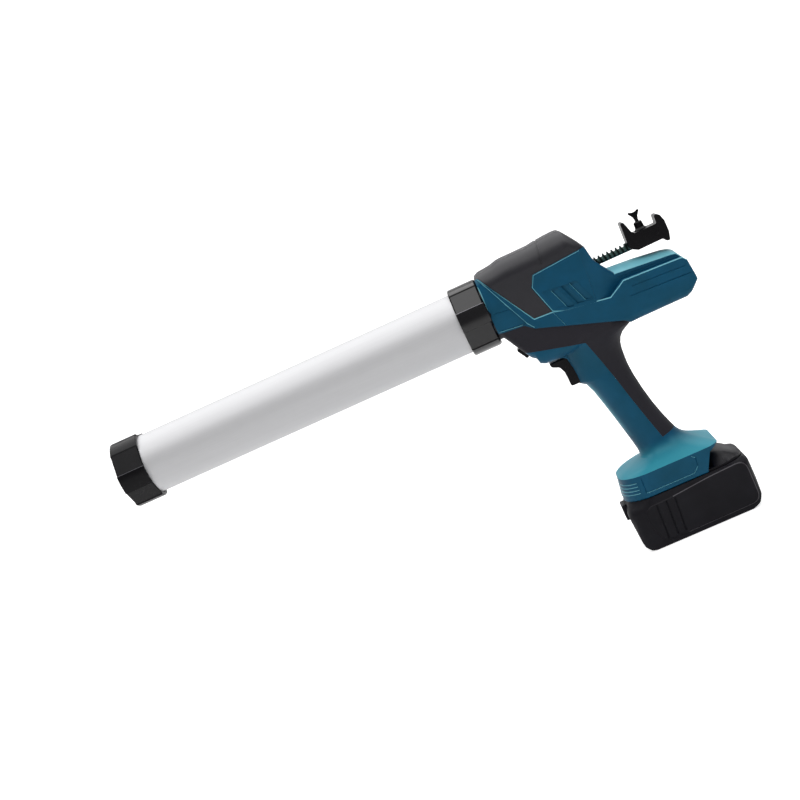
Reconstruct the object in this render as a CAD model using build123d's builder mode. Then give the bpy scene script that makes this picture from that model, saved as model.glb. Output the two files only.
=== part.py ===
# Electric caulking tool: pale tube with lobed caps, toothed push rod, teal body, battery foot
# X runs along the tube towards the rear, Z is up, the battery stands on Z = 0
import math
import os

from build123d import *

os.makedirs("parts", exist_ok=True)

# Driving sizes, millimetres
AXIS_Z = 240.0
TUBE_R = 26.5
TUBE_WALL = 1.3
TUBE_FRONT = -431.0
TUBE_REAR = -105.0
CAP_R = 30.25
FLAT_AT = 28.5
CAP_FRONT = -440.0
CAP_REAR = -413.5
COLLAR_FRONT = -118.0
COLLAR_REAR = -92.5
NOZZLE_R = 12.5
BODY_FRONT = -91.0
BODY_HALF = 28.0
BARREL_HALF = 22.0
WALL = 2.5
SKIN = 1.2
MOTOR_Z = 207.0
MOTOR_R = 18.5
ROD_TIP = 4.9
ROD_CORE = 2.6
RACK_MODULE = 1.25
RACK_PITCH = math.pi * RACK_MODULE
PINION_TEETH = 16
PITCH_LINE = 3.8
PINION_Z = AXIS_Z + PITCH_LINE + RACK_MODULE * PINION_TEETH / 2
CROSS_X = -50.0
PINION_X = CROSS_X
SPUR_SMALL = 14
SPUR_IDLER = 30
SPUR_LARGE = 24
SPUR_MODULE = 1.0
LOW_REACH = SPUR_MODULE * (SPUR_SMALL + SPUR_IDLER) / 2
HIGH_REACH = SPUR_MODULE * (SPUR_IDLER + SPUR_LARGE) / 2
RISE = PINION_Z - MOTOR_Z
IDLER_UP = (LOW_REACH**2 - HIGH_REACH**2 + RISE**2) / (2 * RISE)
IDLER_X = CROSS_X - math.sqrt(LOW_REACH**2 - IDLER_UP**2)
IDLER_Z = MOTOR_Z + IDLER_UP
CLUTCH_TRAVEL = 1.2
STAGE_MODULE = 0.75
SUN_TEETH = 12
PLANET_TEETH = 15
RING_TEETH = 42
CARRIER_R = STAGE_MODULE * (SUN_TEETH + PLANET_TEETH) / 2
BEVEL_MODULE = 1.25
BEVEL_SMALL = 12
BEVEL_LARGE = 24
FOOT_Z = 46.0
FOOT_TOP = 66.0
FOOT_HALF = 36.5
PACK_HALF = 37.5
PACK_FRONT = -55.0
PACK_REAR = 55.5
PACK_TOP = 43.5
CELL_R = 9.1
CELL_L = 65.0
PULL_X = 36.0
SCREW_X = 52.0


# Small helpers for shapes used again and again
def bar_x(x0, x1, r, y=0.0, z=AXIS_Z, mode=Mode.ADD):
    with Locations(((x0 + x1) / 2, y, z)):
        Cylinder(r, x1 - x0, rotation=(0, 90, 0), mode=mode)


def bar_y(y0, y1, r, x, z, mode=Mode.ADD):
    with Locations((x, (y0 + y1) / 2, z)):
        Cylinder(r, y1 - y0, rotation=(90, 0, 0), mode=mode)


def bar_z(z0, z1, r, x, y, mode=Mode.ADD):
    with Locations((x, y, (z0 + z1) / 2)):
        Cylinder(r, z1 - z0, mode=mode)


def cone_x(x0, x1, r0, r1, z=MOTOR_Z, mode=Mode.ADD):
    with Locations(((x0 + x1) / 2, 0, z)):
        Cone(r0, r1, x1 - x0, rotation=(0, 90, 0), mode=mode)


def block(x0, x1, y0, y1, z0, z1, mode=Mode.ADD):
    with Locations(((x0 + x1) / 2, (y0 + y1) / 2, (z0 + z1) / 2)):
        Box(x1 - x0, y1 - y0, z1 - z0, mode=mode)


def side_face(points, y, inset=0.0):
    with BuildSketch(Plane((0, y, 0), x_dir=(1, 0, 0), z_dir=(0, -1, 0))) as face:
        with BuildLine():
            Polyline(*points, close=True)
        make_face()
        if inset:
            offset(amount=-inset, kind=Kind.INTERSECTION)
    return face.sketch


def prism(points, y0, y1, mode=Mode.ADD, inset=0.0):
    extrude(side_face(points, y1, inset), amount=y1 - y0, mode=mode)


# Involute outline of a gear about its own centre, tooth centre at the given phase
def gear_outline(teeth, module, add, ded, thin, phase):
    pitch = module * teeth / 2
    pressure = math.radians(20)
    base = pitch * math.cos(pressure)
    rolled = math.tan(pressure) - pressure
    half = (math.pi * module / 2 - thin) / 2 / pitch + rolled
    low = pitch - ded
    high = pitch + add
    radii = [low]
    start = max(low, base)
    if base > low:
        radii.append(base)
    for step in range(1, 5):
        radii.append(start + (high - start) * step / 4)
    flank = []
    for r in radii:
        turn = math.acos(min(1.0, base / max(r, base)))
        flank.append((r, half - (math.tan(turn) - turn)))
    points = []
    for tooth in range(teeth):
        centre = phase + 2 * math.pi * tooth / teeth
        for r, spread in flank:
            points.append((r * math.cos(centre - spread), r * math.sin(centre - spread)))
        for r, spread in reversed(flank):
            points.append((r * math.cos(centre + spread), r * math.sin(centre + spread)))
    return points


def outline_face(points, plane):
    with BuildSketch(plane) as face:
        with BuildLine():
            Polyline(*points, close=True)
        make_face()
    return face.sketch


def across_x(x, z=MOTOR_Z, y=0.0):
    return Plane((x, y, z), x_dir=(0, 1, 0), z_dir=(1, 0, 0))


def across_y(y, x, z):
    return Plane((x, y, z), x_dir=(0, 0, 1), z_dir=(0, 1, 0))


def gear_x(points, x0, x1, z=MOTOR_Z, y=0.0, mode=Mode.ADD):
    extrude(outline_face(points, across_x(x0, z, y)), amount=x1 - x0, mode=mode)


def gear_y(points, y0, y1, x, z, mode=Mode.ADD):
    extrude(outline_face(points, across_y(y0, x, z)), amount=y1 - y0, mode=mode)


# Section of a straight bevel gear at a distance from the point where the two axes meet
def bevel_outline(teeth, mate, module, add, ded, thin, phase, distance):
    cone = math.atan2(teeth, mate)
    pitch = module * teeth / 2
    length = pitch / math.sin(cone)
    pressure = math.radians(20)
    back = pitch / math.cos(cone)
    base = back * math.cos(pressure)
    rolled = math.tan(pressure) - pressure
    half = (math.pi * module / 2 - thin) / 2 / back + rolled
    flank = []
    for step in range(6):
        h = -ded + (add + ded) * step / 5
        r = back + h
        turn = math.acos(min(1.0, base / max(r, base)))
        thick = r * (half - (math.tan(turn) - turn))
        section = distance * math.tan(cone + math.atan(h / length))
        flank.append((section, thick / (pitch + h * math.cos(cone))))
    points = []
    for tooth in range(teeth):
        centre = phase + 2 * math.pi * tooth / teeth
        for r, spread in flank:
            points.append((r * math.cos(centre - spread), r * math.sin(centre - spread)))
        for r, spread in reversed(flank):
            points.append((r * math.cos(centre + spread), r * math.sin(centre + spread)))
    return points


# Outer form of the body, handle and foot, or the same form set in by a wall
UPPER = [
    (BODY_FRONT, 219.0),
    (-81.5, 202.0),
    (-75.0, 191.0),
    (-71.5, 188.5),
    (-70.0, 183.0),
    (-65.7, 181.0),
    (-46.0, 180.0),
    (-30.0, 174.0),
    (0.0, 176.0),
    (12.0, 184.6),
    (17.0, 192.0),
    (17.0, 227.0),
    (9.7, 236.5),
    (5.0, 246.0),
    (2.5, 257.5),
    (-1.0, 264.0),
    (-11.0, 277.5),
    (-16.0, 279.5),
    (-33.0, 278.5),
    (-41.0, 277.0),
    (-70.0, 277.0),
    (-86.0, 275.0),
    (BODY_FRONT, 272.5),
]
BARREL = [
    (-20.0, 184.6),
    (64.0, 184.6),
    (69.0, 187.0),
    (77.3, 195.5),
    (75.3, 214.0),
    (70.5, 222.7),
    (60.0, 228.0),
    (10.0, 235.0),
    (-20.0, 238.0),
]
HANDLE = [
    (192.0, -44.0, 8.0, 15.5),
    (176.0, -44.0, 1.5, 16.0),
    (160.0, -43.5, -2.4, 16.5),
    (140.0, -38.5, -2.2, 17.0),
    (112.0, -31.5, 3.0, 17.0),
    (88.0, -26.0, 11.0, 17.5),
    (62.0, -20.0, 19.5, 18.0),
]
FOOT_CUT = [(21.0, 30.0), (21.0, FOOT_Z), (28.3, 60.0), (37.0, 63.4), (70.0, 63.4), (70.0, 30.0)]


def body_solid(inset):
    with BuildPart() as upper:
        extrude(side_face(UPPER, 0.0, inset), amount=BODY_HALF - inset, both=True)
        with BuildSketch(Plane((0, 0, 0), x_dir=(0, 1, 0), z_dir=(1, 0, 0))) as around:
            with Locations((0, 209.5 - inset)):
                RectangleRounded(2 * (BODY_HALF - inset), 140.0, 12.0 - inset)
        extrude(around.sketch, amount=120, both=True, mode=Mode.INTERSECT)
    with BuildPart() as barrel:
        extrude(side_face(BARREL, 0.0, inset), amount=BARREL_HALF - inset, both=True)
        with BuildSketch(Plane((0, 0, 0), x_dir=(0, 1, 0), z_dir=(1, 0, 0))) as ring:
            with Locations((0, 210.6)):
                RectangleRounded(2 * (BARREL_HALF - inset), 52.0 - 2 * inset, 15.0 - inset)
        extrude(ring.sketch, amount=120, both=True, mode=Mode.INTERSECT)
    with BuildPart() as handle:
        slices = []
        for z, front, rear, half in HANDLE:
            with BuildSketch(Plane.XY.offset(z)) as slice_face:
                with Locations(((front + rear) / 2, 0)):
                    RectangleRounded(rear - front - 2 * inset, 2 * (half - inset), 11.0 - inset)
            slices.append(slice_face.sketch)
        loft(slices)
    with BuildPart() as foot:
        with BuildSketch(Plane.XY.offset(FOOT_Z + 1.6 * inset)) as plan:
            with Locations((-6.5, 0)):
                Rectangle(87.0 - 2 * inset, 2 * (FOOT_HALF - inset))
            fillet(plan.vertices().sort_by(Axis.X)[:2], 26.0 - inset)
            fillet(plan.vertices().sort_by(Axis.X)[-2:], 12.0 - inset)
        extrude(plan.sketch, amount=FOOT_TOP - FOOT_Z - 2.6 * inset)
        fillet(foot.faces().sort_by(Axis.Z)[-1].edges(), 8.0 - inset)
        prism(FOOT_CUT, -60.0, 60.0, mode=Mode.SUBTRACT)
        if inset:
            inner_cut = [(x - inset, z + inset * 0.5) for x, z in FOOT_CUT]
            prism(inner_cut, -60.0, 60.0, mode=Mode.SUBTRACT)
    with BuildPart() as whole:
        add(upper.part)
        add(barrel.part)
        add(handle.part)
        add(foot.part)
        block(-48.5 + inset, -36.0, -12.5 + inset, 12.5 - inset, 150.0 + inset, 182.0)
    return whole.part


body_form = body_solid(0.0)
body_skin = body_solid(SKIN)
body_room = body_solid(WALL)

COVER_ZONE = [
    (-95.0, 269.5),
    (-89.0, 269.5),
    (-60.0, 220.5),
    (-43.5, 219.5),
    (-51.5, 245.3),
    (-46.5, 255.0),
    (1.5, 258.6),
    (30.0, 262.0),
    (30.0, 300.0),
    (-95.0, 300.0),
]
GRIP_ZONE = [
    (-96.0, 220.5),
    (-69.3, 218.6),
    (-62.6, 213.4),
    (8.0, 188.8),
    (12.0, 184.6),
    (40.0, 170.0),
    (40.0, 84.0),
    (-1.6, 83.4),
    (-12.0, 121.3),
    (-18.0, 146.0),
    (-29.0, 184.3),
    (-78.4, 197.2),
    (-96.0, 200.0),
]
VENTS = [(-37.9, -30.6), (-30.0, -22.7), (-22.1, -14.8)]
GEAR_SCREWS = [(-77.0, 232.0), (-24.0, 245.0), (-68.0, 202.0), (-28.0, 194.0)]
GRIP_SCREWS = [(-20.0, 140.0), (-8.0, 84.0)]


# Hollow shell of the body with its openings and inner ribs, before it is divided
with BuildPart() as shell:
    add(body_form)
    add(body_room, mode=Mode.SUBTRACT)
    with BuildPart(mode=Mode.PRIVATE) as ribs:
        block(24.0, 27.0, -21.0, 21.0, 186.0, 234.0)
        block(44.0, 47.0, -21.0, 21.0, 186.0, 230.0)
        add(body_form, mode=Mode.INTERSECT)
        bar_x(20.0, 50.0, MOTOR_R, z=MOTOR_Z, mode=Mode.SUBTRACT)
    add(ribs.part)
    with BuildPart(mode=Mode.PRIVATE) as seats:
        block(-20.0, -17.0, -16.0, -9.0, 155.0, 172.0)
        block(-20.0, -17.0, 9.0, 16.0, 155.0, 172.0)
        for sx, sz in GRIP_SCREWS:
            bar_y(-17.0, 17.0, 4.0, sx, sz)
        bar_y(10.6, 17.0, 2.5, -14.0, 106.0)
        bar_y(10.6, 17.0, 2.5, -14.0, 126.0)
        add(body_form, mode=Mode.INTERSECT)
    add(seats.part)
    bar_x(-92.0, -87.0, TUBE_R - 0.1, mode=Mode.SUBTRACT)
    bar_x(-6.0, 16.0, 7.0, mode=Mode.SUBTRACT)
    block(-52.0, -40.0, -9.6, 9.6, 152.2, 178.8, mode=Mode.SUBTRACT)
    block(-46.0, 60.0, -17.5, 17.5, 40.0, 51.0, mode=Mode.SUBTRACT)
    block(8.0, 60.0, -21.5, 21.5, 50.0, 57.6, mode=Mode.SUBTRACT)
    for sx, sz in GRIP_SCREWS:
        bar_y(-10.0, 30.0, 1.5, sx, sz, mode=Mode.SUBTRACT)
        bar_y(14.5, 30.0, 3.2, sx, sz, mode=Mode.SUBTRACT)
    for sx, sz in GEAR_SCREWS:
        bar_y(20.0, 30.0, 1.5, sx, sz, mode=Mode.SUBTRACT)
        bar_y(26.6, 30.0, 3.2, sx, sz, mode=Mode.SUBTRACT)
    for top, low in VENTS:
        slot = [(top, 237.5), (top + 3.2, 237.2), (low + 3.2, 218.2), (low, 218.6)]
        prism(slot, -40.0, 40.0, mode=Mode.SUBTRACT)

# Soft grip skin on the outside of the shell, both sides, before it is divided
with BuildPart() as grip_band:
    add(body_form)
    add(body_skin, mode=Mode.SUBTRACT)
    prism(GRIP_ZONE, -40.0, 40.0, mode=Mode.INTERSECT)
    bar_x(-92.0, -87.0, TUBE_R - 0.1, mode=Mode.SUBTRACT)
    for sx, sz in GRIP_SCREWS + GEAR_SCREWS:
        bar_y(12.0, 30.0, 3.2, sx, sz, mode=Mode.SUBTRACT)
    block(-46.0, 60.0, -17.5, 17.5, 40.0, 51.0, mode=Mode.SUBTRACT)

# Left half of the teal shell, the side with the plain face
with BuildPart() as housing_left:
    add(shell.part)
    prism(COVER_ZONE, -40.0, 40.0, mode=Mode.SUBTRACT)
    add(grip_band.part, mode=Mode.SUBTRACT)
    block(-120.0, 120.0, -60.0, 0.0, 0.0, 300.0, mode=Mode.INTERSECT)
housing_left.part.label = "housing_left"
export_step(housing_left.part, "parts/housing_left.step")

# Right half of the teal shell, the side with the screw heads
with BuildPart() as housing_right:
    add(shell.part)
    prism(COVER_ZONE, -40.0, 40.0, mode=Mode.SUBTRACT)
    add(grip_band.part, mode=Mode.SUBTRACT)
    block(-120.0, 120.0, 0.0, 60.0, 0.0, 300.0, mode=Mode.INTERSECT)
housing_right.part.label = "housing_right"
export_step(housing_right.part, "parts/housing_right.step")

# Dark grip skin, left
with BuildPart() as grip_left:
    add(grip_band.part)
    block(-120.0, 120.0, -60.0, 0.0, 0.0, 300.0, mode=Mode.INTERSECT)
grip_left.part.label = "grip_left"
export_step(grip_left.part, "parts/grip_left.step")

# Dark grip skin, right
with BuildPart() as grip_right:
    add(grip_band.part)
    block(-120.0, 120.0, 0.0, 60.0, 0.0, 300.0, mode=Mode.INTERSECT)
grip_right.part.label = "grip_right"
export_step(grip_right.part, "parts/grip_right.step")

# Dark cover over the rear top of the body
with BuildPart() as top_cover:
    add(shell.part)
    prism(COVER_ZONE, -40.0, 40.0, mode=Mode.INTERSECT)
top_cover.part.label = "top_cover"
export_step(top_cover.part, "parts/top_cover.step")

# Front mount: boss for the collar, flange inside the body, hub for the rod guide
MOUNT_SCREWS = [(-16.0, 226.0), (16.0, 226.0), (-16.0, 258.0), (16.0, 258.0)]
with BuildPart() as front_mount:
    bar_x(-104.5, -88.5, TUBE_R - 0.1)
    block(-88.5, -84.0, -25.0, 25.0, 221.0, 266.0)
    bar_x(-84.0, -76.0, 12.0)
    bar_x(-104.5, -94.0, 22.0, mode=Mode.SUBTRACT)
    bar_x(-104.5, -94.0, 12.0)
    bar_x(-105.0, -76.0, 8.0, mode=Mode.SUBTRACT)
    for sy, sz in MOUNT_SCREWS:
        bar_x(-89.0, -83.0, 2.0, y=sy, z=sz, mode=Mode.SUBTRACT)
front_mount.part.label = "front_mount"
export_step(front_mount.part, "parts/front_mount.step")

# Screws that hold the mount to the gear case
with BuildPart() as mount_screws:
    for sy, sz in MOUNT_SCREWS:
        bar_x(-88.5, -80.0, 2.0, y=sy, z=sz)
        bar_x(-80.0, -77.4, 3.5, y=sy, z=sz)
mount_screws.part.label = "mount_screws"
export_step(mount_screws.part, "parts/mount_screws.step")

# Gear case: two cheeks between a front and a rear bulkhead, and a plate for the bevel pinion
CHEEK = [
    (-84.0, 214.0),
    (-76.0, 204.0),
    (-68.0, 193.0),
    (-16.0, 187.5),
    (-16.0, 252.0),
    (-36.0, 264.0),
    (-70.0, 264.0),
    (-84.0, 258.0),
]
SHAFTS = [
    (CROSS_X, MOTOR_Z, 6.0, 4.06),
    (IDLER_X, IDLER_Z, 5.0, 3.06),
    (PINION_X, PINION_Z, 6.0, 4.06),
]
with BuildPart() as gear_case:
    prism(CHEEK, -25.5, -21.5)
    prism(CHEEK, 21.5, 25.5)
    block(-84.0, -80.0, -25.5, 25.5, 214.0, 266.0)
    block(-20.0, -16.0, -25.5, 25.5, 187.5, 252.0)
    block(-33.4, -30.0, -22.0, 22.0, 196.0, 218.0)
    bar_x(-85.0, -79.0, 13.0, mode=Mode.SUBTRACT)
    bar_x(-21.0, -15.0, 8.0, mode=Mode.SUBTRACT)
    bar_x(-21.0, -15.0, 7.5, z=MOTOR_Z, mode=Mode.SUBTRACT)
    bar_x(-34.0, -29.0, 6.5, z=MOTOR_Z, mode=Mode.SUBTRACT)
    for sy, sz in MOUNT_SCREWS:
        bar_x(-85.0, -79.0, 2.0, y=sy, z=sz, mode=Mode.SUBTRACT)
    for bx, bz, outer, inner in SHAFTS:
        bar_y(-26.0, 26.0, outer, bx, bz, mode=Mode.SUBTRACT)
    for sx, sz in GEAR_SCREWS:
        bar_y(20.0, 26.0, 1.5, sx, sz, mode=Mode.SUBTRACT)
gear_case.part.label = "gear_case"
export_step(gear_case.part, "parts/gear_case.step")

# Long ring gear that serves both planetary stages
UP = math.pi / 2
with BuildPart() as ring_gear:
    bar_x(-16.0, 12.0, MOTOR_R, z=MOTOR_Z)
    ring_teeth = gear_outline(RING_TEETH, STAGE_MODULE, 0.95, 0.62, -0.08, UP)
    gear_x(ring_teeth, -16.0, 12.0, mode=Mode.SUBTRACT)
ring_gear.part.label = "ring_gear"
export_step(ring_gear.part, "parts/ring_gear.step")

# Motor can with its magnet wall
with BuildPart() as motor_can:
    bar_x(12.0, 55.0, MOTOR_R, z=MOTOR_Z)
    bar_x(14.0, 55.0, 14.2, z=MOTOR_Z, mode=Mode.SUBTRACT)
    bar_x(11.0, 15.0, 5.0, z=MOTOR_Z, mode=Mode.SUBTRACT)
motor_can.part.label = "motor_can"
export_step(motor_can.part, "parts/motor_can.step")

# Rear end bell of the motor
with BuildPart() as motor_end_bell:
    bar_x(55.0, 61.0, MOTOR_R - 1.2, z=MOTOR_Z)
    bar_x(55.0, 58.0, 14.2, z=MOTOR_Z, mode=Mode.SUBTRACT)
    bar_x(54.0, 62.0, 5.0, z=MOTOR_Z, mode=Mode.SUBTRACT)
    for turn in range(6):
        around_y = 10.0 * math.cos(turn * math.pi / 3)
        around_z = 10.0 * math.sin(turn * math.pi / 3)
        bar_x(54.0, 62.0, 2.2, y=around_y, z=MOTOR_Z + around_z, mode=Mode.SUBTRACT)
motor_end_bell.part.label = "motor_end_bell"
export_step(motor_end_bell.part, "parts/motor_end_bell.step")

# Plain bushes for every shaft
with BuildPart() as shaft_bushes:
    for bx, bz, outer, inner in SHAFTS:
        bar_y(-25.5, -21.5, outer, bx, bz)
        bar_y(21.5, 25.5, outer, bx, bz)
        bar_y(-26.0, 26.0, inner, bx, bz, mode=Mode.SUBTRACT)
    bar_x(-33.4, -30.0, 6.5, z=MOTOR_Z)
    bar_x(-34.0, -29.0, 4.56, z=MOTOR_Z, mode=Mode.SUBTRACT)
    bar_x(-20.0, -16.0, 7.5, z=MOTOR_Z)
    bar_x(-21.0, -15.5, 5.06, z=MOTOR_Z, mode=Mode.SUBTRACT)
    bar_x(12.0, 16.0, 5.0, z=MOTOR_Z)
    bar_x(56.0, 61.0, 5.0, z=MOTOR_Z)
    bar_x(11.0, 62.0, 2.56, z=MOTOR_Z, mode=Mode.SUBTRACT)
shaft_bushes.part.label = "shaft_bushes"
export_step(shaft_bushes.part, "parts/shaft_bushes.step")

# Motor shaft
with BuildPart() as motor_shaft:
    bar_x(0.0, 69.0, 2.5, z=MOTOR_Z)
motor_shaft.part.label = "motor_shaft"
export_step(motor_shaft.part, "parts/motor_shaft.step")

# Slotted rotor core
with BuildPart() as rotor_core:
    bar_x(19.0, 52.0, 13.4, z=MOTOR_Z)
    for turn in range(8):
        slot_y = 12.6 * math.cos(turn * math.pi / 4)
        slot_z = MOTOR_Z + 12.6 * math.sin(turn * math.pi / 4)
        bar_x(19.0, 52.0, 1.6, y=slot_y, z=slot_z, mode=Mode.SUBTRACT)
    bar_x(18.0, 53.0, 2.5, z=MOTOR_Z, mode=Mode.SUBTRACT)
rotor_core.part.label = "rotor_core"
export_step(rotor_core.part, "parts/rotor_core.step")

# Cooling fan behind the motor
with BuildPart() as cooling_fan:
    bar_x(64.0, 65.4, 11.0, z=MOTOR_Z)
    bar_x(64.0, 68.4, 4.5, z=MOTOR_Z)
    for turn in range(9):
        angle = turn * 2 * math.pi / 9
        blade = Plane((65.4, 0, MOTOR_Z), x_dir=(0, math.cos(angle), math.sin(angle)), z_dir=(1, 0, 0))
        with BuildSketch(blade) as blade_face:
            with Locations((7.4, 0)):
                Rectangle(6.8, 0.9)
        extrude(blade_face.sketch, amount=3.0)
    bar_x(63.0, 69.0, 2.5, z=MOTOR_Z, mode=Mode.SUBTRACT)
cooling_fan.part.label = "cooling_fan"
export_step(cooling_fan.part, "parts/cooling_fan.step")

# First sun gear on the motor shaft
with BuildPart() as sun_one:
    gear_x(gear_outline(SUN_TEETH, STAGE_MODULE, 0.7, 0.9, 0.1, UP), 0.0, 7.0)
    bar_x(-1.0, 8.0, 2.5, z=MOTOR_Z, mode=Mode.SUBTRACT)
sun_one.part.label = "sun_one"
export_step(sun_one.part, "parts/sun_one.step")


# Places of the planets on their carrier
def planet_place(number):
    angle = UP + number * 2 * math.pi / 3
    return CARRIER_R * math.cos(angle), MOTOR_Z + CARRIER_R * math.sin(angle), angle


def planet_outline(angle):
    phase = angle + math.pi - math.pi / PLANET_TEETH
    return gear_outline(PLANET_TEETH, STAGE_MODULE, 0.6, 0.9, 0.1, phase)


# Three planets of the first stage
py, pz, pa = planet_place(0)
with BuildPart() as planet_one_a:
    gear_x(planet_outline(pa), 0.3, 6.0, z=pz, y=py)
    bar_x(0.0, 7.0, 1.55, y=py, z=pz, mode=Mode.SUBTRACT)
planet_one_a.part.label = "planet_one_a"
export_step(planet_one_a.part, "parts/planet_one_a.step")

py, pz, pa = planet_place(1)
with BuildPart() as planet_one_b:
    gear_x(planet_outline(pa), 0.3, 6.0, z=pz, y=py)
    bar_x(0.0, 7.0, 1.55, y=py, z=pz, mode=Mode.SUBTRACT)
planet_one_b.part.label = "planet_one_b"
export_step(planet_one_b.part, "parts/planet_one_b.step")

py, pz, pa = planet_place(2)
with BuildPart() as planet_one_c:
    gear_x(planet_outline(pa), 0.3, 6.0, z=pz, y=py)
    bar_x(0.0, 7.0, 1.55, y=py, z=pz, mode=Mode.SUBTRACT)
planet_one_c.part.label = "planet_one_c"
export_step(planet_one_c.part, "parts/planet_one_c.step")

# First carrier, with the second sun gear on its front
with BuildPart() as carrier_one:
    bar_x(-4.0, -0.3, 13.5, z=MOTOR_Z)
    for number in range(3):
        py, pz, pa = planet_place(number)
        bar_x(-0.3, 6.6, 1.5, y=py, z=pz)
    gear_x(gear_outline(SUN_TEETH, STAGE_MODULE, 0.7, 0.9, 0.1, UP), -10.6, -4.0)
carrier_one.part.label = "carrier_one"
export_step(carrier_one.part, "parts/carrier_one.step")

# Three planets of the second stage
py, pz, pa = planet_place(0)
with BuildPart() as planet_two_a:
    gear_x(planet_outline(pa), -10.7, -4.6, z=pz, y=py)
    bar_x(-12.0, -4.0, 1.55, y=py, z=pz, mode=Mode.SUBTRACT)
planet_two_a.part.label = "planet_two_a"
export_step(planet_two_a.part, "parts/planet_two_a.step")

py, pz, pa = planet_place(1)
with BuildPart() as planet_two_b:
    gear_x(planet_outline(pa), -10.7, -4.6, z=pz, y=py)
    bar_x(-12.0, -4.0, 1.55, y=py, z=pz, mode=Mode.SUBTRACT)
planet_two_b.part.label = "planet_two_b"
export_step(planet_two_b.part, "parts/planet_two_b.step")

py, pz, pa = planet_place(2)
with BuildPart() as planet_two_c:
    gear_x(planet_outline(pa), -10.7, -4.6, z=pz, y=py)
    bar_x(-12.0, -4.0, 1.55, y=py, z=pz, mode=Mode.SUBTRACT)
planet_two_c.part.label = "planet_two_c"
export_step(planet_two_c.part, "parts/planet_two_c.step")

# Second carrier with the output shaft and the hollow cone of the clutch
with BuildPart() as carrier_two:
    bar_x(-15.0, -11.0, 13.5, z=MOTOR_Z)
    for number in range(3):
        py, pz, pa = planet_place(number)
        bar_x(-11.0, -4.4, 1.5, y=py, z=pz)
    bar_x(-21.0, -15.0, 5.0, z=MOTOR_Z)
    bar_x(-27.5, -21.0, 9.5, z=MOTOR_Z)
    cone_x(-27.5, -22.5, 7.6, 6.2, mode=Mode.SUBTRACT)
carrier_two.part.label = "carrier_two"
export_step(carrier_two.part, "parts/carrier_two.step")

# Sliding cone of the clutch, drawn apart from the hollow cone, with a flat in its bore
CONE_SLOPE = (7.6 - 6.2) / 5.0
with BuildPart() as clutch_cone:
    cone_rear = 7.58 - CONE_SLOPE * (-24.5 + CLUTCH_TRAVEL + 27.5)
    cone_front = 7.58 - CONE_SLOPE * (-29.6 + CLUTCH_TRAVEL + 27.5)
    cone_x(-29.6, -24.5, cone_front, cone_rear)
    with BuildPart(mode=Mode.PRIVATE) as cone_bore:
        bar_x(-31.0, -23.0, 3.06, z=MOTOR_Z)
        block(-31.0, -23.0, -4.0, 4.0, MOTOR_Z + 2.26, MOTOR_Z + 5.0, mode=Mode.SUBTRACT)
    add(cone_bore.part, mode=Mode.SUBTRACT)
clutch_cone.part.label = "clutch_cone"
export_step(clutch_cone.part, "parts/clutch_cone.step")

# Bevel pinion with its hub and the flatted shaft the clutch cone slides on
BEVEL_FAR = BEVEL_MODULE * BEVEL_LARGE / 2
BEVEL_NEAR = BEVEL_MODULE * BEVEL_SMALL / 2
with BuildPart() as bevel_pinion:
    big = bevel_outline(BEVEL_SMALL, BEVEL_LARGE, BEVEL_MODULE, 0.9, 1.3, 0.25, 0.0, BEVEL_FAR)
    small = bevel_outline(BEVEL_SMALL, BEVEL_LARGE, BEVEL_MODULE, 0.9, 1.3, 0.25, 0.0, BEVEL_FAR - 4.0)
    big_face = outline_face(big, across_x(CROSS_X + BEVEL_FAR))
    small_face = outline_face(small, across_x(CROSS_X + BEVEL_FAR - 4.0))
    loft([small_face, big_face], ruled=True)
    bar_x(CROSS_X + BEVEL_FAR, -29.8, 4.5, z=MOTOR_Z)
    bar_x(-29.8, -23.4, 3.0, z=MOTOR_Z)
    block(-29.8, -23.0, -4.0, 4.0, MOTOR_Z + 2.2, MOTOR_Z + 5.0, mode=Mode.SUBTRACT)
bevel_pinion.part.label = "bevel_pinion"
export_step(bevel_pinion.part, "parts/bevel_pinion.step")

# Bevel gear on the cross shaft
GEAR_PHASE = UP + math.pi / BEVEL_LARGE
with BuildPart() as bevel_gear:
    near_y = BEVEL_NEAR - 2.0
    far_y = BEVEL_NEAR + 2.2
    near = bevel_outline(BEVEL_LARGE, BEVEL_SMALL, BEVEL_MODULE, 0.9, 1.3, 0.25, GEAR_PHASE, near_y)
    far = bevel_outline(BEVEL_LARGE, BEVEL_SMALL, BEVEL_MODULE, 0.9, 1.3, 0.25, GEAR_PHASE, far_y)
    near_face = outline_face(near, across_y(near_y, CROSS_X, MOTOR_Z))
    far_face = outline_face(far, across_y(far_y, CROSS_X, MOTOR_Z))
    loft([near_face, far_face], ruled=True)
    bar_y(0.0, 20.0, 15.9, CROSS_X, MOTOR_Z, mode=Mode.INTERSECT)
    bar_y(BEVEL_NEAR + 2.2, 12.0, 15.9, CROSS_X, MOTOR_Z)
    bar_y(12.0, 13.6, 7.0, CROSS_X, MOTOR_Z)
    bar_y(0.0, 20.0, 4.0, CROSS_X, MOTOR_Z, mode=Mode.SUBTRACT)
bevel_gear.part.label = "bevel_gear"
export_step(bevel_gear.part, "parts/bevel_gear.step")

# Cross shaft
with BuildPart() as cross_shaft:
    bar_y(-25.3, 25.3, 4.0, CROSS_X, MOTOR_Z)
cross_shaft.part.label = "cross_shaft"
export_step(cross_shaft.part, "parts/cross_shaft.step")

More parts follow.
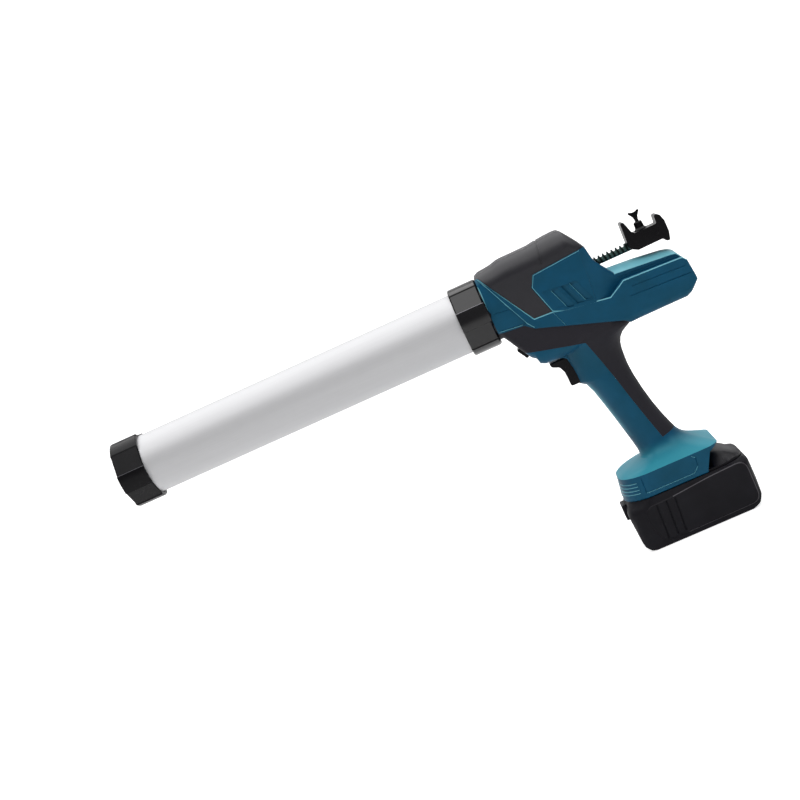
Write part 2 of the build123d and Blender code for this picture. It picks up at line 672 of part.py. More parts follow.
# Spur pinion on the cross shaft
TO_IDLER = math.atan2(IDLER_X - CROSS_X, IDLER_Z - MOTOR_Z)
TO_OUTPUT = math.atan2(PINION_X - IDLER_X, PINION_Z - IDLER_Z)
with BuildPart() as spur_pinion:
    small_teeth = gear_outline(SPUR_SMALL, SPUR_MODULE, 0.9, 1.2, 0.12, TO_IDLER)
    gear_y(small_teeth, 13.6, 20.8, CROSS_X, MOTOR_Z)
    bar_y(13.0, 22.0, 4.0, CROSS_X, MOTOR_Z, mode=Mode.SUBTRACT)
spur_pinion.part.label = "spur_pinion"
export_step(spur_pinion.part, "parts/spur_pinion.step")

# Idler gear with its own shaft, between the cross shaft and the pinion shaft
IDLER_PHASE = TO_IDLER + math.pi - math.pi / SPUR_IDLER
with BuildPart() as idler_gear:
    idler_teeth = gear_outline(SPUR_IDLER, SPUR_MODULE, 0.9, 1.2, 0.12, IDLER_PHASE)
    gear_y(idler_teeth, 14.2, 20.2, IDLER_X, IDLER_Z)
    bar_y(-25.3, 25.3, 3.0, IDLER_X, IDLER_Z)
idler_gear.part.label = "idler_gear"
export_step(idler_gear.part, "parts/idler_gear.step")

# Spur gear on the pinion shaft
with BuildPart() as spur_gear:
    idler_lead = (IDLER_PHASE - TO_OUTPUT) * SPUR_IDLER / SPUR_LARGE
    spur_phase = TO_OUTPUT + math.pi - math.pi / SPUR_LARGE - idler_lead
    spur_teeth = gear_outline(SPUR_LARGE, SPUR_MODULE, 0.9, 1.2, 0.12, spur_phase)
    gear_y(spur_teeth, 14.2, 20.2, PINION_X, PINION_Z)
    bar_y(13.0, 22.0, 4.0, PINION_X, PINION_Z, mode=Mode.SUBTRACT)
spur_gear.part.label = "spur_gear"
export_step(spur_gear.part, "parts/spur_gear.step")

# Pinion shaft with the pinion that drives the rod from above
with BuildPart() as pinion_shaft:
    bar_y(-25.3, 25.3, 4.0, PINION_X, PINION_Z)
    pinion_teeth = gear_outline(PINION_TEETH, RACK_MODULE, 0.9, 1.35, 0.2, 0.0)
    gear_y(pinion_teeth, -4.0, 4.0, PINION_X, PINION_Z)
pinion_shaft.part.label = "pinion_shaft"
export_step(pinion_shaft.part, "parts/pinion_shaft.step")

# Two fixed guide sleeves that key the toothed side of the rod
with BuildPart() as rod_guide:
    bar_x(-101.0, -76.0, 8.0)
    bar_x(-76.0, -73.0, 10.0)
    bar_x(-22.0, -20.0, 10.0)
    bar_x(-20.0, -2.0, 8.0)
    bar_x(-102.0, 0.0, ROD_CORE + 0.15, mode=Mode.SUBTRACT)
    key_half = ROD_CORE + 0.15
    block(-102.0, 0.0, -key_half, key_half, AXIS_Z, AXIS_Z + ROD_TIP + 0.25, mode=Mode.SUBTRACT)
rod_guide.part.label = "rod_guide"
export_step(rod_guide.part, "parts/rod_guide.step")

# Push rod: round core with a row of rack teeth on one side
ROD_FRONT = -384.0
ROD_REAR = 60.0
RACK_FIRST = -74
RACK_LAST = 21
with BuildPart() as rod:
    tip_half = (RACK_PITCH / 2 - 0.25) / 2 - (ROD_TIP - PITCH_LINE) * math.tan(math.radians(20))
    root_half = (RACK_PITCH / 2 - 0.25) / 2 + (PITCH_LINE - 2.75) * math.tan(math.radians(20))
    rack_line = [(ROD_FRONT, AXIS_Z)]
    rack_line.append((ROD_FRONT, AXIS_Z + ROD_TIP))
    for tooth in range(RACK_FIRST, RACK_LAST + 1):
        middle = PINION_X + (tooth + 0.5) * RACK_PITCH
        if tooth > RACK_FIRST:
            rack_line.append((middle - root_half, AXIS_Z + 2.75))
            rack_line.append((middle - tip_half, AXIS_Z + ROD_TIP))
        if tooth < RACK_LAST:
            rack_line.append((middle + tip_half, AXIS_Z + ROD_TIP))
            rack_line.append((middle + root_half, AXIS_Z + 2.75))
    rack_line.append((ROD_REAR, AXIS_Z + ROD_TIP))
    rack_line.append((ROD_REAR, AXIS_Z))
    revolve(side_face(rack_line, 0.0), axis=Axis((0, 0, AXIS_Z), (1, 0, 0)))
    block(ROD_FRONT - 1, ROD_REAR + 1, -ROD_CORE, ROD_CORE, AXIS_Z, AXIS_Z + 8, mode=Mode.INTERSECT)
    bar_x(ROD_FRONT, ROD_REAR, ROD_CORE)
rod.part.label = "rod"
export_step(rod.part, "parts/rod.step")

# Pull handle clamped on the rear of the rod
PULL_BLOCK = [
    (PULL_X, 243.0),
    (PULL_X + 1.2, 262.5),
    (PULL_X + 4.0, 262.3),
    (PULL_X + 5.4, 258.5),
    (PULL_X + 7.4, 252.4),
    (PULL_X + 9.0, 250.4),
    (65.0, 250.0),
    (65.4, 257.2),
    (68.0, 257.6),
    (70.4, 255.4),
    (72.4, 249.6),
    (72.4, 240.0),
    (70.4, 232.4),
    (67.4, 232.8),
    (65.4, 236.0),
    (43.0, 235.6),
    (PULL_X + 1.0, 239.0),
]
with BuildPart() as pull_handle:
    prism(PULL_BLOCK, -11.0, 11.0)
    with BuildSketch(Plane((0, 0, 0), x_dir=(0, 1, 0), z_dir=(1, 0, 0))) as pull_round:
        with Locations((0, 247.0)):
            RectangleRounded(22.0, 32.0, 5.0)
    extrude(pull_round.sketch, amount=100, both=True, mode=Mode.INTERSECT)
    bar_z(249.0, 257.5, 4.2, SCREW_X, 0.0)
    bar_z(244.0, 258.0, 1.9, SCREW_X, 0.0, mode=Mode.SUBTRACT)
    bar_x(PULL_X - 2, ROD_REAR, ROD_CORE, mode=Mode.SUBTRACT)
    block(PULL_X - 2, ROD_REAR, -ROD_CORE, ROD_CORE, AXIS_Z, AXIS_Z + ROD_TIP, mode=Mode.SUBTRACT)
pull_handle.part.label = "pull_handle"
export_step(pull_handle.part, "parts/pull_handle.step")

# Thumb screw with a flat fan-shaped head
with BuildPart() as thumb_screw:
    bar_z(245.0, 261.0, 1.85, SCREW_X, 0.0)
    fan = [(-1.6, 260.0), (1.6, 260.0), (5.0, 266.2), (4.2, 267.0), (-4.2, 267.0), (-5.0, 266.2)]
    prism([(SCREW_X + x, z) for x, z in fan], -1.2, 1.2)
thumb_screw.part.label = "thumb_screw"
export_step(thumb_screw.part, "parts/thumb_screw.step")

# Piston, its seal and the screw that holds it on the rod
PISTON_FRONT = -405.0
PISTON_REAR = -384.0
PISTON_R = TUBE_R - TUBE_WALL - 0.8
with BuildPart() as piston:
    bar_x(PISTON_FRONT, PISTON_REAR, PISTON_R)
    bar_x(PISTON_FRONT + 4.0, PISTON_REAR + 1, PISTON_R - 2.5, mode=Mode.SUBTRACT)
    bar_x(PISTON_FRONT + 4.0, PISTON_REAR, 8.0)
    bar_x(-397.0, -392.0, PISTON_R + 1, mode=Mode.SUBTRACT)
    bar_x(-398.0, -391.0, PISTON_R - 1.6)
    bar_x(-396.9, -392.1, PISTON_R - 1.6)
    bar_x(PISTON_FRONT + 4.0, PISTON_REAR + 1, PISTON_R - 4.0, mode=Mode.SUBTRACT)
    bar_x(PISTON_FRONT + 4.0, PISTON_REAR, 8.0)
    bar_x(PISTON_FRONT - 1, PISTON_REAR + 1, 2.0, mode=Mode.SUBTRACT)
    bar_x(PISTON_FRONT - 1, PISTON_FRONT + 3.0, 4.0, mode=Mode.SUBTRACT)
piston.part.label = "piston"
export_step(piston.part, "parts/piston.step")

with BuildPart() as piston_seal:
    bar_x(-397.0, -392.0, PISTON_R + 0.5)
    bar_x(-398.0, -391.0, PISTON_R - 1.6, mode=Mode.SUBTRACT)
piston_seal.part.label = "piston_seal"
export_step(piston_seal.part, "parts/piston_seal.step")

with BuildPart() as piston_screw:
    bar_x(PISTON_FRONT, PISTON_FRONT + 3.0, 4.0)
    bar_x(PISTON_FRONT + 3.0, PISTON_REAR, 2.0)
    bar_x(PISTON_FRONT - 1, PISTON_FRONT + 1.6, 1.6, mode=Mode.SUBTRACT)
piston_screw.part.label = "piston_screw"
export_step(piston_screw.part, "parts/piston_screw.step")

# Pale tube that holds the sealant pack
with BuildPart() as tube:
    bar_x(TUBE_FRONT, TUBE_REAR, TUBE_R)
    bar_x(TUBE_FRONT - 1, TUBE_REAR + 1, TUBE_R - TUBE_WALL, mode=Mode.SUBTRACT)
tube.part.label = "tube"
export_step(tube.part, "parts/tube.step")


# Round ring with five flats, as on both caps
def lobed_face(x, first):
    with BuildSketch(across_x(x, AXIS_Z)) as lobed:
        Circle(CAP_R)
        for number in range(5):
            angle = first + number * 72.0
            reach = FLAT_AT + 10.0
            place = (reach * math.cos(math.radians(angle)), reach * math.sin(math.radians(angle)))
            with Locations(Location((place[0], place[1], 0), (0, 0, angle))):
                Rectangle(20.0, 60.0, mode=Mode.SUBTRACT)
    return lobed.sketch


# Rear collar that clamps the tube on the mount
with BuildPart() as collar:
    extrude(lobed_face(COLLAR_FRONT, 138.0), amount=COLLAR_REAR - COLLAR_FRONT)
    bar_x(COLLAR_FRONT - 1, COLLAR_REAR + 1, TUBE_R + 0.3, mode=Mode.SUBTRACT)
collar.part.label = "collar"
export_step(collar.part, "parts/collar.step")

# Front cap with its open mouth
with BuildPart() as front_cap:
    extrude(lobed_face(CAP_FRONT, 153.0), amount=CAP_REAR - CAP_FRONT)
    bar_x(CAP_FRONT + 6.0, CAP_REAR + 1, TUBE_R + 0.3, mode=Mode.SUBTRACT)
    bar_x(CAP_FRONT - 1, CAP_REAR, NOZZLE_R + 2.0, mode=Mode.SUBTRACT)
front_cap.part.label = "front_cap"
export_step(front_cap.part, "parts/front_cap.step")

# Seat ring for a nozzle, between the cap and the tube
with BuildPart() as nozzle_seat:
    bar_x(CAP_FRONT + 6.0, TUBE_FRONT, TUBE_R - 0.2)
    bar_x(CAP_FRONT, TUBE_FRONT + 1, NOZZLE_R, mode=Mode.SUBTRACT)
nozzle_seat.part.label = "nozzle_seat"
export_step(nozzle_seat.part, "parts/nozzle_seat.step")

# Trigger with its finger lip and inner stem
TRIGGER = [
    (-64.0, 178.0),
    (-63.0, 174.2),
    (-56.8, 171.6),
    (-54.6, 167.0),
    (-54.0, 160.0),
    (-54.2, 152.8),
    (-48.6, 152.8),
    (-46.0, 156.0),
    (-46.0, 178.4),
]
with BuildPart() as trigger:
    prism(TRIGGER, -9.2, 9.2)
    block(-46.0, -34.0, -7.0, 7.0, 158.0, 174.0)
    bar_x(-43.0, -33.0, 5.0, z=166.0, mode=Mode.SUBTRACT)
trigger.part.label = "trigger"
export_step(trigger.part, "parts/trigger.step")

# Spring between the trigger and the switch
with BuildPart() as trigger_spring:
    with BuildLine() as coil:
        turns = Helix(pitch=3.2, height=14.8, radius=3.6, center=(-42.4, 0, 166.0), direction=(1, 0, 0))
    with BuildSketch(Plane(origin=turns @ 0, z_dir=turns % 0)) as wire:
        Circle(0.5)
    sweep(wire.sketch, path=coil.line, is_frenet=True)
trigger_spring.part.label = "trigger_spring"
export_step(trigger_spring.part, "parts/trigger_spring.step")

# Switch block behind the trigger
with BuildPart() as switch_block:
    block(-27.0, -8.0, -9.0, 9.0, 150.0, 177.0)
    bar_x(-27.4, -27.0, 2.8, z=166.0)
    block(-8.0, -5.6, -6.0, -3.0, 154.0, 158.0)
    block(-8.0, -5.6, 3.0, 6.0, 154.0, 158.0)
switch_block.part.label = "switch_block"
export_step(switch_block.part, "parts/switch_block.step")

# Control board on its two posts
with BuildPart() as control_board:
    block(-22.0, -7.0, 9.0, 10.6, 100.0, 132.0)
    block(-20.0, -12.0, 5.0, 9.0, 103.0, 111.0)
    block(-19.0, -10.0, 6.5, 9.0, 116.0, 122.0)
    bar_y(2.0, 9.0, 2.5, -11.5, 127.5)
control_board.part.label = "control_board"
export_step(control_board.part, "parts/control_board.step")

# Work lamp under the nose: holder and lens
LAMP = Plane((-78.25, 0, 196.5), x_dir=(6.5, 0, -11.0), z_dir=(-11.0, 0, -6.5))
with BuildPart() as lamp_holder:
    with BuildSketch(LAMP) as lamp_face:
        RectangleRounded(11.0, 14.0, 1.5)
    extrude(lamp_face.sketch, amount=3.6)
    with BuildSketch(LAMP.offset(2.4)) as lamp_hole:
        RectangleRounded(7.6, 10.6, 1.2)
    extrude(lamp_hole.sketch, amount=2.0, mode=Mode.SUBTRACT)
lamp_holder.part.label = "lamp_holder"
export_step(lamp_holder.part, "parts/lamp_holder.step")

with BuildPart() as lamp_lens:
    with BuildSketch(LAMP.offset(2.4)) as lens_face:
        RectangleRounded(7.6, 10.6, 1.2)
    extrude(lens_face.sketch, amount=1.0)
lamp_lens.part.label = "lamp_lens"
export_step(lamp_lens.part, "parts/lamp_lens.step")

# Terminal block in the foot with two contact blades
with BuildPart() as terminal_block:
    block(-40.0, -22.0, -13.0, 13.0, 57.6, FOOT_TOP - WALL)
    block(-39.0, -25.0, -8.4, -7.6, 51.0, 57.6)
    block(-39.0, -25.0, 7.6, 8.4, 51.0, 57.6)
terminal_block.part.label = "terminal_block"
export_step(terminal_block.part, "parts/terminal_block.step")

# Shell screws, heads on the right side
with BuildPart() as shell_screws:
    for sx, sz in GRIP_SCREWS:
        bar_y(-10.0, 14.5, 1.5, sx, sz)
        bar_y(14.5, 16.2, 3.2, sx, sz)
    for sx, sz in GEAR_SCREWS:
        bar_y(21.5, 26.6, 1.5, sx, sz)
        bar_y(26.6, 27.9, 3.2, sx, sz)
shell_screws.part.label = "shell_screws"
export_step(shell_screws.part, "parts/shell_screws.step")

# Lower case of the battery, with side ribs, latch window and screw posts
PACK_SIDE = [
    (PACK_FRONT, 8.0),
    (PACK_FRONT + 2.2, 3.0),
    (PACK_FRONT + 7.0, 0.0),
    (PACK_REAR - 8.0, 0.0),
    (PACK_REAR - 2.4, 3.2),
    (PACK_REAR - 0.4, 9.0),
    (PACK_REAR, PACK_TOP),
    (PACK_FRONT - 0.8, PACK_TOP),
]
PACK_SCREWS = [(-50.2, -31.0), (-50.2, 31.0), (50.4, -31.0), (50.4, 31.0)]
with BuildPart() as battery_lower:
    prism(PACK_SIDE, -PACK_HALF + 0.6, PACK_HALF - 0.6)
    with BuildSketch(Plane.XY) as pack_plan:
        with Locations(((PACK_FRONT + PACK_REAR) / 2, 0)):
            RectangleRounded(PACK_REAR - PACK_FRONT + 2, 2 * PACK_HALF - 1.2, 9.0)
    extrude(pack_plan.sketch, amount=PACK_TOP, mode=Mode.INTERSECT)
    with BuildSketch(Plane.XY.offset(2.2)) as pack_room:
        with Locations(((PACK_FRONT + PACK_REAR - 0.4) / 2, 0)):
            RectangleRounded(PACK_REAR - PACK_FRONT - 4.4, 2 * PACK_HALF - 5.0, 7.0)
    extrude(pack_room.sketch, amount=PACK_TOP, mode=Mode.SUBTRACT)
    for side in (-1, 1):
        for rib in range(3):
            rib_x = -42.0 + rib * 8.0
            rib_y = side * (PACK_HALF - 0.7)
            block(rib_x, rib_x + 4.0, rib_y - 0.7, rib_y + 0.7, 9.0, 41.0)
        panel_y = side * (PACK_HALF - 0.7)
        block(-14.0, 50.0, panel_y - 0.7, panel_y + 0.7, 5.0, 41.5)
    for sx, sy in PACK_SCREWS:
        bar_z(2.0, PACK_TOP, 2.7, sx, sy)
        bar_z(-1.0, PACK_TOP + 1, 1.2, sx, sy, mode=Mode.SUBTRACT)
        bar_z(-1.0, 2.0, 2.2, sx, sy, mode=Mode.SUBTRACT)
    block(-60.0, -52.0, -10.5, 10.5, 22.0, PACK_TOP + 1, mode=Mode.SUBTRACT)
    block(-53.2, -47.6, -4.0, 4.0, 2.0, 12.0)
battery_lower.part.label = "battery_lower"
export_step(battery_lower.part, "parts/battery_lower.step")

# Upper case of the battery: lid, slide head and rear hump
HUMP = [
    (22.0, 45.0),
    (29.2, 59.6),
    (36.6, 62.8),
    (42.0, 62.4),
    (47.0, 59.4),
    (51.5, 54.0),
    (54.6, 47.0),
    (54.6, 45.0),
]
with BuildPart() as battery_upper:
    block(PACK_FRONT + 3.0, PACK_REAR - 2.0, -34.5, 34.5, PACK_TOP, 45.6)
    prism(HUMP, -34.5, 34.5)
    block(-44.0, 24.0, -17.2, 17.2, 45.6, 50.6)
    block(-44.0, 24.0, -21.0, 21.0, 50.6, 57.0)
    block(-45.0, -22.0, -9.6, -6.4, 50.6, 58.0, mode=Mode.SUBTRACT)
    block(-45.0, -22.0, 6.4, 9.6, 50.6, 58.0, mode=Mode.SUBTRACT)
    for sx, sy in PACK_SCREWS:
        bar_z(PACK_TOP - 1, 46.0, 1.2, sx, sy, mode=Mode.SUBTRACT)
battery_upper.part.label = "battery_upper"
export_step(battery_upper.part, "parts/battery_upper.step")

# Ten cells in two rows, and the two plates that hold them
CELLS = [(x, z) for x in (-38.0, -19.0, 0.0, 19.0, 38.0) for z in (12.4, 31.4)]
with BuildPart() as battery_cells:
    for cx, cz in CELLS:
        bar_y(-CELL_L / 2, CELL_L / 2, CELL_R, cx, cz)
        bar_y(CELL_L / 2, CELL_L / 2 + 0.6, 3.0, cx, cz)
battery_cells.part.label = "battery_cells"
export_step(battery_cells.part, "parts/battery_cells.step")

with BuildPart() as cell_holder:
    block(-47.4, 47.6, -24.0, -20.0, 2.2, 42.6)
    block(-47.4, 47.6, 20.0, 24.0, 2.2, 42.6)
    for cx, cz in CELLS:
        bar_y(-30.0, 30.0, CELL_R, cx, cz, mode=Mode.SUBTRACT)
cell_holder.part.label = "cell_holder"
export_step(cell_holder.part, "parts/cell_holder.step")

# Spring contacts in the slide head
with BuildPart() as battery_contacts:
    for slot_y in (-8.0, 8.0):
        block(-42.0, -24.0, slot_y - 1.6, slot_y - 0.75, 50.6, 56.4)
        block(-42.0, -24.0, slot_y + 0.75, slot_y + 1.6, 50.6, 56.4)
battery_contacts.part.label = "battery_contacts"
export_step(battery_contacts.part, "parts/battery_contacts.step")

# Case screws from below
with BuildPart() as battery_screws:
    for sx, sy in PACK_SCREWS:
        bar_z(2.0, 45.6, 1.2, sx, sy)
        bar_z(0.6, 2.0, 2.2, sx, sy)
battery_screws.part.label = "battery_screws"
export_step(battery_screws.part, "parts/battery_screws.step")

# Release button at the front of the pack
with BuildPart() as latch_button:
    block(-57.4, -53.4, -10.0, 10.0, 27.0, 42.6)
    block(-53.4, -47.8, -8.0, 8.0, 27.0, 42.0)
latch_button.part.label = "latch_button"
export_step(latch_button.part, "parts/latch_button.step")

# Spring under the release button
with BuildPart() as latch_spring:
    with BuildLine() as latch_coil:
        latch_turns = Helix(3.0, 14.0, 2.0, center=(-50.4, 0, 12.5), direction=(0, 0, 1))
    with BuildSketch(Plane(origin=latch_turns @ 0, z_dir=latch_turns % 0)) as latch_wire:
        Circle(0.4)
    sweep(latch_wire.sketch, path=latch_coil.line, is_frenet=True)
latch_spring.part.label = "latch_spring"
export_step(latch_spring.part, "parts/latch_spring.step")
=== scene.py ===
# %% [markdown]
# # Electric caulking tool
# This lesson dresses a battery caulking gun. The construction model already holds every piece at its real
# size, so the scene loads it as a fixed frame and models the visible skins around it: shell, grips,
# cover, caps, tube, trigger and battery. The inner pieces keep their construction meshes and only get a
# finish.

# %% Load the construction frame
import math

import bmesh
import bpy
from mathutils import Matrix, Vector


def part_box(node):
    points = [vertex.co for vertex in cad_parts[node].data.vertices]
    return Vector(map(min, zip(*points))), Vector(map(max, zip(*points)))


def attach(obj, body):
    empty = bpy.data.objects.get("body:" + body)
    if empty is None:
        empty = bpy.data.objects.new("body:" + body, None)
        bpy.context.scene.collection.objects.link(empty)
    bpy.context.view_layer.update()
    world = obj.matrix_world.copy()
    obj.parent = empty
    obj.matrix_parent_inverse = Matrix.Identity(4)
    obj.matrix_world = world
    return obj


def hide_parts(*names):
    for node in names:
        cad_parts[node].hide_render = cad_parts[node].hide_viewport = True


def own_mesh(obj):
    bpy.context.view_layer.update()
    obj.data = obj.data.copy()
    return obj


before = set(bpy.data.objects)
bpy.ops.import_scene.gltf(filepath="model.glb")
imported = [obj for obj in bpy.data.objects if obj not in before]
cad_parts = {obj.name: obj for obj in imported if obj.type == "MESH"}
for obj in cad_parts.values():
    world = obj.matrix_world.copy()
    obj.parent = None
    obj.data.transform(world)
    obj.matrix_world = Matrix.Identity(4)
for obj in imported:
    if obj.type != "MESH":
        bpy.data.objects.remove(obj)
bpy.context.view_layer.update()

MM = 0.001


# %% [markdown]
# ## Places read from the frame
# Nothing is measured twice: the tube's axis, its radius and the ends of both caps come from the boxes of
# the construction nodes. All sizes in this lesson are in millimetres and are turned to metres at the last
# moment.

# %% Measure the frame
def box_mm(node):
    low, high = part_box(node)
    return low / MM, high / MM


tube_low, tube_high = box_mm("tube")
AXIS_Z = (tube_low.z + tube_high.z) / 2
TUBE_R = (tube_high.y - tube_low.y) / 2
cap_low, cap_high = box_mm("front_cap")
collar_low, collar_high = box_mm("collar")
pack_low, pack_high = box_mm("battery_lower")
print("tube axis height", round(AXIS_Z, 1), "radius", round(TUBE_R, 2))


# %% [markdown]
# ## Modelling helpers
# Most skins here are drawn the way a modeller draws them by hand: a circle primitive is pulled onto the
# first outline, then the cap is extruded again and again, and each new ring is moved onto the next
# section. The same few helpers inset an outline for a chamfer, cut one piece with another and copy a
# piece to the other side.

# %% Choose a piece
def clear_selection():
    bpy.ops.object.select_all(action="DESELECT")


def make_active(piece):
    clear_selection()
    bpy.context.view_layer.objects.active = piece
    piece.select_set(True)


# %% Rings
WELD = 0.0005


def start_ring(name, points, filled):
    clear_selection()
    fill = "NGON" if filled else "NOTHING"
    bpy.ops.mesh.primitive_circle_add(vertices=len(points), fill_type=fill, enter_editmode=True)
    piece = bpy.context.object
    piece.name = name
    piece.data.name = name
    mesh = bmesh.from_edit_mesh(piece.data)
    for vert, point in zip(mesh.verts, points):
        vert.co = Vector(point) * MM
    bmesh.update_edit_mesh(piece.data)
    bpy.ops.mesh.select_all(action="SELECT")
    return piece


def extrude_to(piece, old, new):
    bpy.ops.mesh.extrude_region_move()
    mesh = bmesh.from_edit_mesh(piece.data)
    places = [Vector(point) * MM for point in old]
    for vert in [vert for vert in mesh.verts if vert.select]:
        nearest = min(range(len(places)), key=lambda n: (vert.co - places[n]).length_squared)
        vert.co = Vector(new[nearest]) * MM
    bmesh.update_edit_mesh(piece.data)


def close_up(piece):
    bpy.ops.mesh.select_all(action="SELECT")
    bpy.ops.mesh.remove_doubles(threshold=WELD * MM)
    bpy.ops.mesh.normals_make_consistent(inside=False)
    bpy.ops.object.mode_set(mode="OBJECT")
    return piece


# %% Lofts and lathe forms
def loft(name, rings, sleeve=False):
    piece = start_ring(name, rings[0], filled=not sleeve)
    for old, new in zip(rings, rings[1:]):
        extrude_to(piece, old, new)
    if sleeve:
        extrude_to(piece, rings[-1], rings[0])
    return close_up(piece)


def spun(name, section, steps):
    points = [(x, 0.0, AXIS_Z + radius) for x, radius in section]
    piece = start_ring(name, points, filled=False)
    bpy.ops.mesh.spin(steps=steps, angle=2 * math.pi, center=(0, 0, AXIS_Z * MM), axis=(1, 0, 0))
    return close_up(piece)


# %% Outlines drawn in side view
def arc(centre, radius, first, last, steps):
    points = []
    for step in range(steps + 1):
        angle = math.radians(first + (last - first) * step / steps)
        points.append((centre[0] + radius * math.cos(angle), centre[1] + radius * math.sin(angle)))
    return points


def inset(points, distance):
    area = sum(a[0] * b[1] - b[0] * a[1] for a, b in zip(points, points[1:] + points[:1]))
    side = 1.0 if area > 0 else -1.0
    result = []
    for number, point in enumerate(points):
        before = (Vector(point) - Vector(points[number - 1])).normalized()
        after = (Vector(points[(number + 1) % len(points)]) - Vector(point)).normalized()
        left = Vector((-before.y, before.x)) * side
        right = Vector((-after.y, after.x)) * side
        shift = (left + right) / (1.0 + left.dot(right)) * distance
        result.append((point[0] + shift.x, point[1] + shift.y))
    return result


# %% Rounded corners
CORNER_SHARE = 0.45


def rounded(points, radius, steps):
    result = []
    for number, point in enumerate(points):
        here = Vector(point)
        back = Vector(points[number - 1]) - here
        ahead = Vector(points[(number + 1) % len(points)]) - here
        half = back.angle(ahead) / 2
        reach = min(radius / math.tan(half), CORNER_SHARE * back.length, CORNER_SHARE * ahead.length)
        start = here + back.normalized() * reach
        end = here + ahead.normalized() * reach
        for step in range(steps + 1):
            share = step / steps
            bend = start * (1 - share) ** 2 + here * 2 * share * (1 - share) + end * share**2
            result.append((bend.x, bend.y))
    return result


# %% Slabs, whose faces may lie at a changing depth
def depth(value, x, z):
    return value(x, z) if callable(value) else value


def slab(name, outline, outer, inner, chamfer=0.0):
    side = -1.0 if depth(outer, *outline[0]) < depth(inner, *outline[0]) else 1.0
    rings = []
    if chamfer:
        small = inset(outline, chamfer)
        rings.append([(x, depth(outer, x, z), z) for x, z in small])
        rings.append([(x, depth(outer, x, z) - side * chamfer, z) for x, z in outline])
    else:
        rings.append([(x, depth(outer, x, z), z) for x, z in outline])
    rings.append([(x, depth(inner, x, z), z) for x, z in outline])
    return loft(name, rings)


# %% Cutting and joining
def combine(piece, other, operation):
    make_active(piece)
    tool = piece.modifiers.new("combine", "BOOLEAN")
    tool.operation = operation
    tool.solver = "EXACT"
    tool.object = other
    bpy.ops.object.modifier_apply(modifier=tool.name)
    bpy.data.objects.remove(other, do_unlink=True)
    return piece


def cut(piece, *cutters):
    for cutter in cutters:
        combine(piece, cutter, "DIFFERENCE")
    return piece


def fuse(piece, *others):
    for other in others:
        combine(piece, other, "UNION")
    return piece


def keep_inside(piece, other):
    return combine(piece, other, "INTERSECT")


def join(*pieces):
    make_active(pieces[0])
    for piece in pieces[1:]:
        piece.select_set(True)
    bpy.ops.object.join()
    return pieces[0]


# %% Copies and mirror images
def copied(piece, name):
    make_active(piece)
    bpy.ops.object.duplicate()
    twin = bpy.context.object
    twin.name = name
    twin.data.name = name
    return twin


def mirrored(piece, name):
    twin = copied(piece, name)
    bpy.ops.object.mode_set(mode="EDIT")
    bpy.ops.mesh.select_all(action="SELECT")
    bpy.ops.transform.resize(value=(1, -1, 1), center_override=(0, 0, 0))
    mesh = bmesh.from_edit_mesh(twin.data)
    if mesh.calc_volume(signed=True) < 0:
        bpy.ops.mesh.flip_normals()
    bpy.ops.object.mode_set(mode="OBJECT")
    return twin


# %% Blocks and rods
def block(name, x0, x1, y0, y1, z0, z1):
    clear_selection()
    middle = Vector((x0 + x1, y0 + y1, z0 + z1)) / 2 * MM
    bpy.ops.mesh.primitive_cube_add(size=1, location=middle)
    piece = bpy.context.object
    piece.name = name
    piece.scale = Vector((x1 - x0, y1 - y0, z1 - z0)) * MM
    bpy.ops.object.transform_apply(location=True, rotation=True, scale=True)
    return piece


def rod_along(name, axis, start, end, radius, u, v, sides):
    turns = {"x": (0, math.pi / 2, 0), "y": (math.pi / 2, 0, 0), "z": (0, 0, 0)}
    middle = (start + end) / 2
    places = {"x": (middle, u, v), "y": (u, middle, v), "z": (u, v, middle)}
    clear_selection()
    bpy.ops.mesh.primitive_cylinder_add(
        vertices=sides,
        radius=radius * MM,
        depth=(end - start) * MM,
        location=Vector(places[axis]) * MM,
        rotation=turns[axis],
    )
    piece = bpy.context.object
    piece.name = name
    bpy.ops.object.transform_apply(location=True, rotation=True, scale=True)
    return piece


# %% Turned bars and rounded edges
def round_bar(name, axis, sections, u, v, sides):
    rings = []
    for place, radius in sections:
        ring = []
        for step in range(sides):
            angle = 2 * math.pi * step / sides
            a = u + radius * math.cos(angle)
            b = v + radius * math.sin(angle)
            ring.append({"x": (place, a, b), "y": (a, place, b), "z": (a, b, place)}[axis])
        rings.append(ring)
    return loft(name, rings)


def soften(piece, width, segments=2, angle=40.0):
    make_active(piece)
    edge = piece.modifiers.new("edges", "BEVEL")
    edge.width = width * MM
    edge.segments = segments
    edge.limit_method = "ANGLE"
    edge.angle_limit = math.radians(angle)
    bpy.ops.object.modifier_apply(modifier=edge.name)
    return piece


# %% Finishes on chosen faces
# Slot 1 is a pale copy of a plastic that paints the highlight on edges and slopes; slots 2 and 3 paint
# lighter teal on the foot's shoulder and the handle's front
PAINTED_HIGHLIGHT, SHOULDER_HIGHLIGHT_SLOT, FRONT_HIGHLIGHT_SLOT = 1, 2, 3
RIM_LEAST, RIM_MOST = 0.3, 0.95


def dress(piece, *materials):
    piece.data.materials.clear()
    for material in materials:
        piece.data.materials.append(material)
    return piece


def mark_faces(piece, index, chosen):
    for face in piece.data.polygons:
        if chosen(face):
            face.material_index = index
    return piece


# Chamfer faces, slanted between side and front, take the pale finish: a painted highlight
def mark_edges(piece, left=-1.1, right=1.1, behind=-1000.0):
    def on_rim(face):
        slanted = RIM_LEAST < abs(face.normal.y) < RIM_MOST and left < face.normal.x < right
        return slanted and face.center.x > behind * MM

    return mark_faces(piece, PAINTED_HIGHLIGHT, on_rim)


# The cutter's downward faces become the groove's upward slope, which takes the pale finish: a painted
# highlight
def mark_slope(cutter, finishes):
    dress(cutter, *finishes)
    return mark_faces(cutter, PAINTED_HIGHLIGHT, lambda face: finishes and face.normal.z < -0.2)


# %% Grooves
OVERSHOOT = 0.4


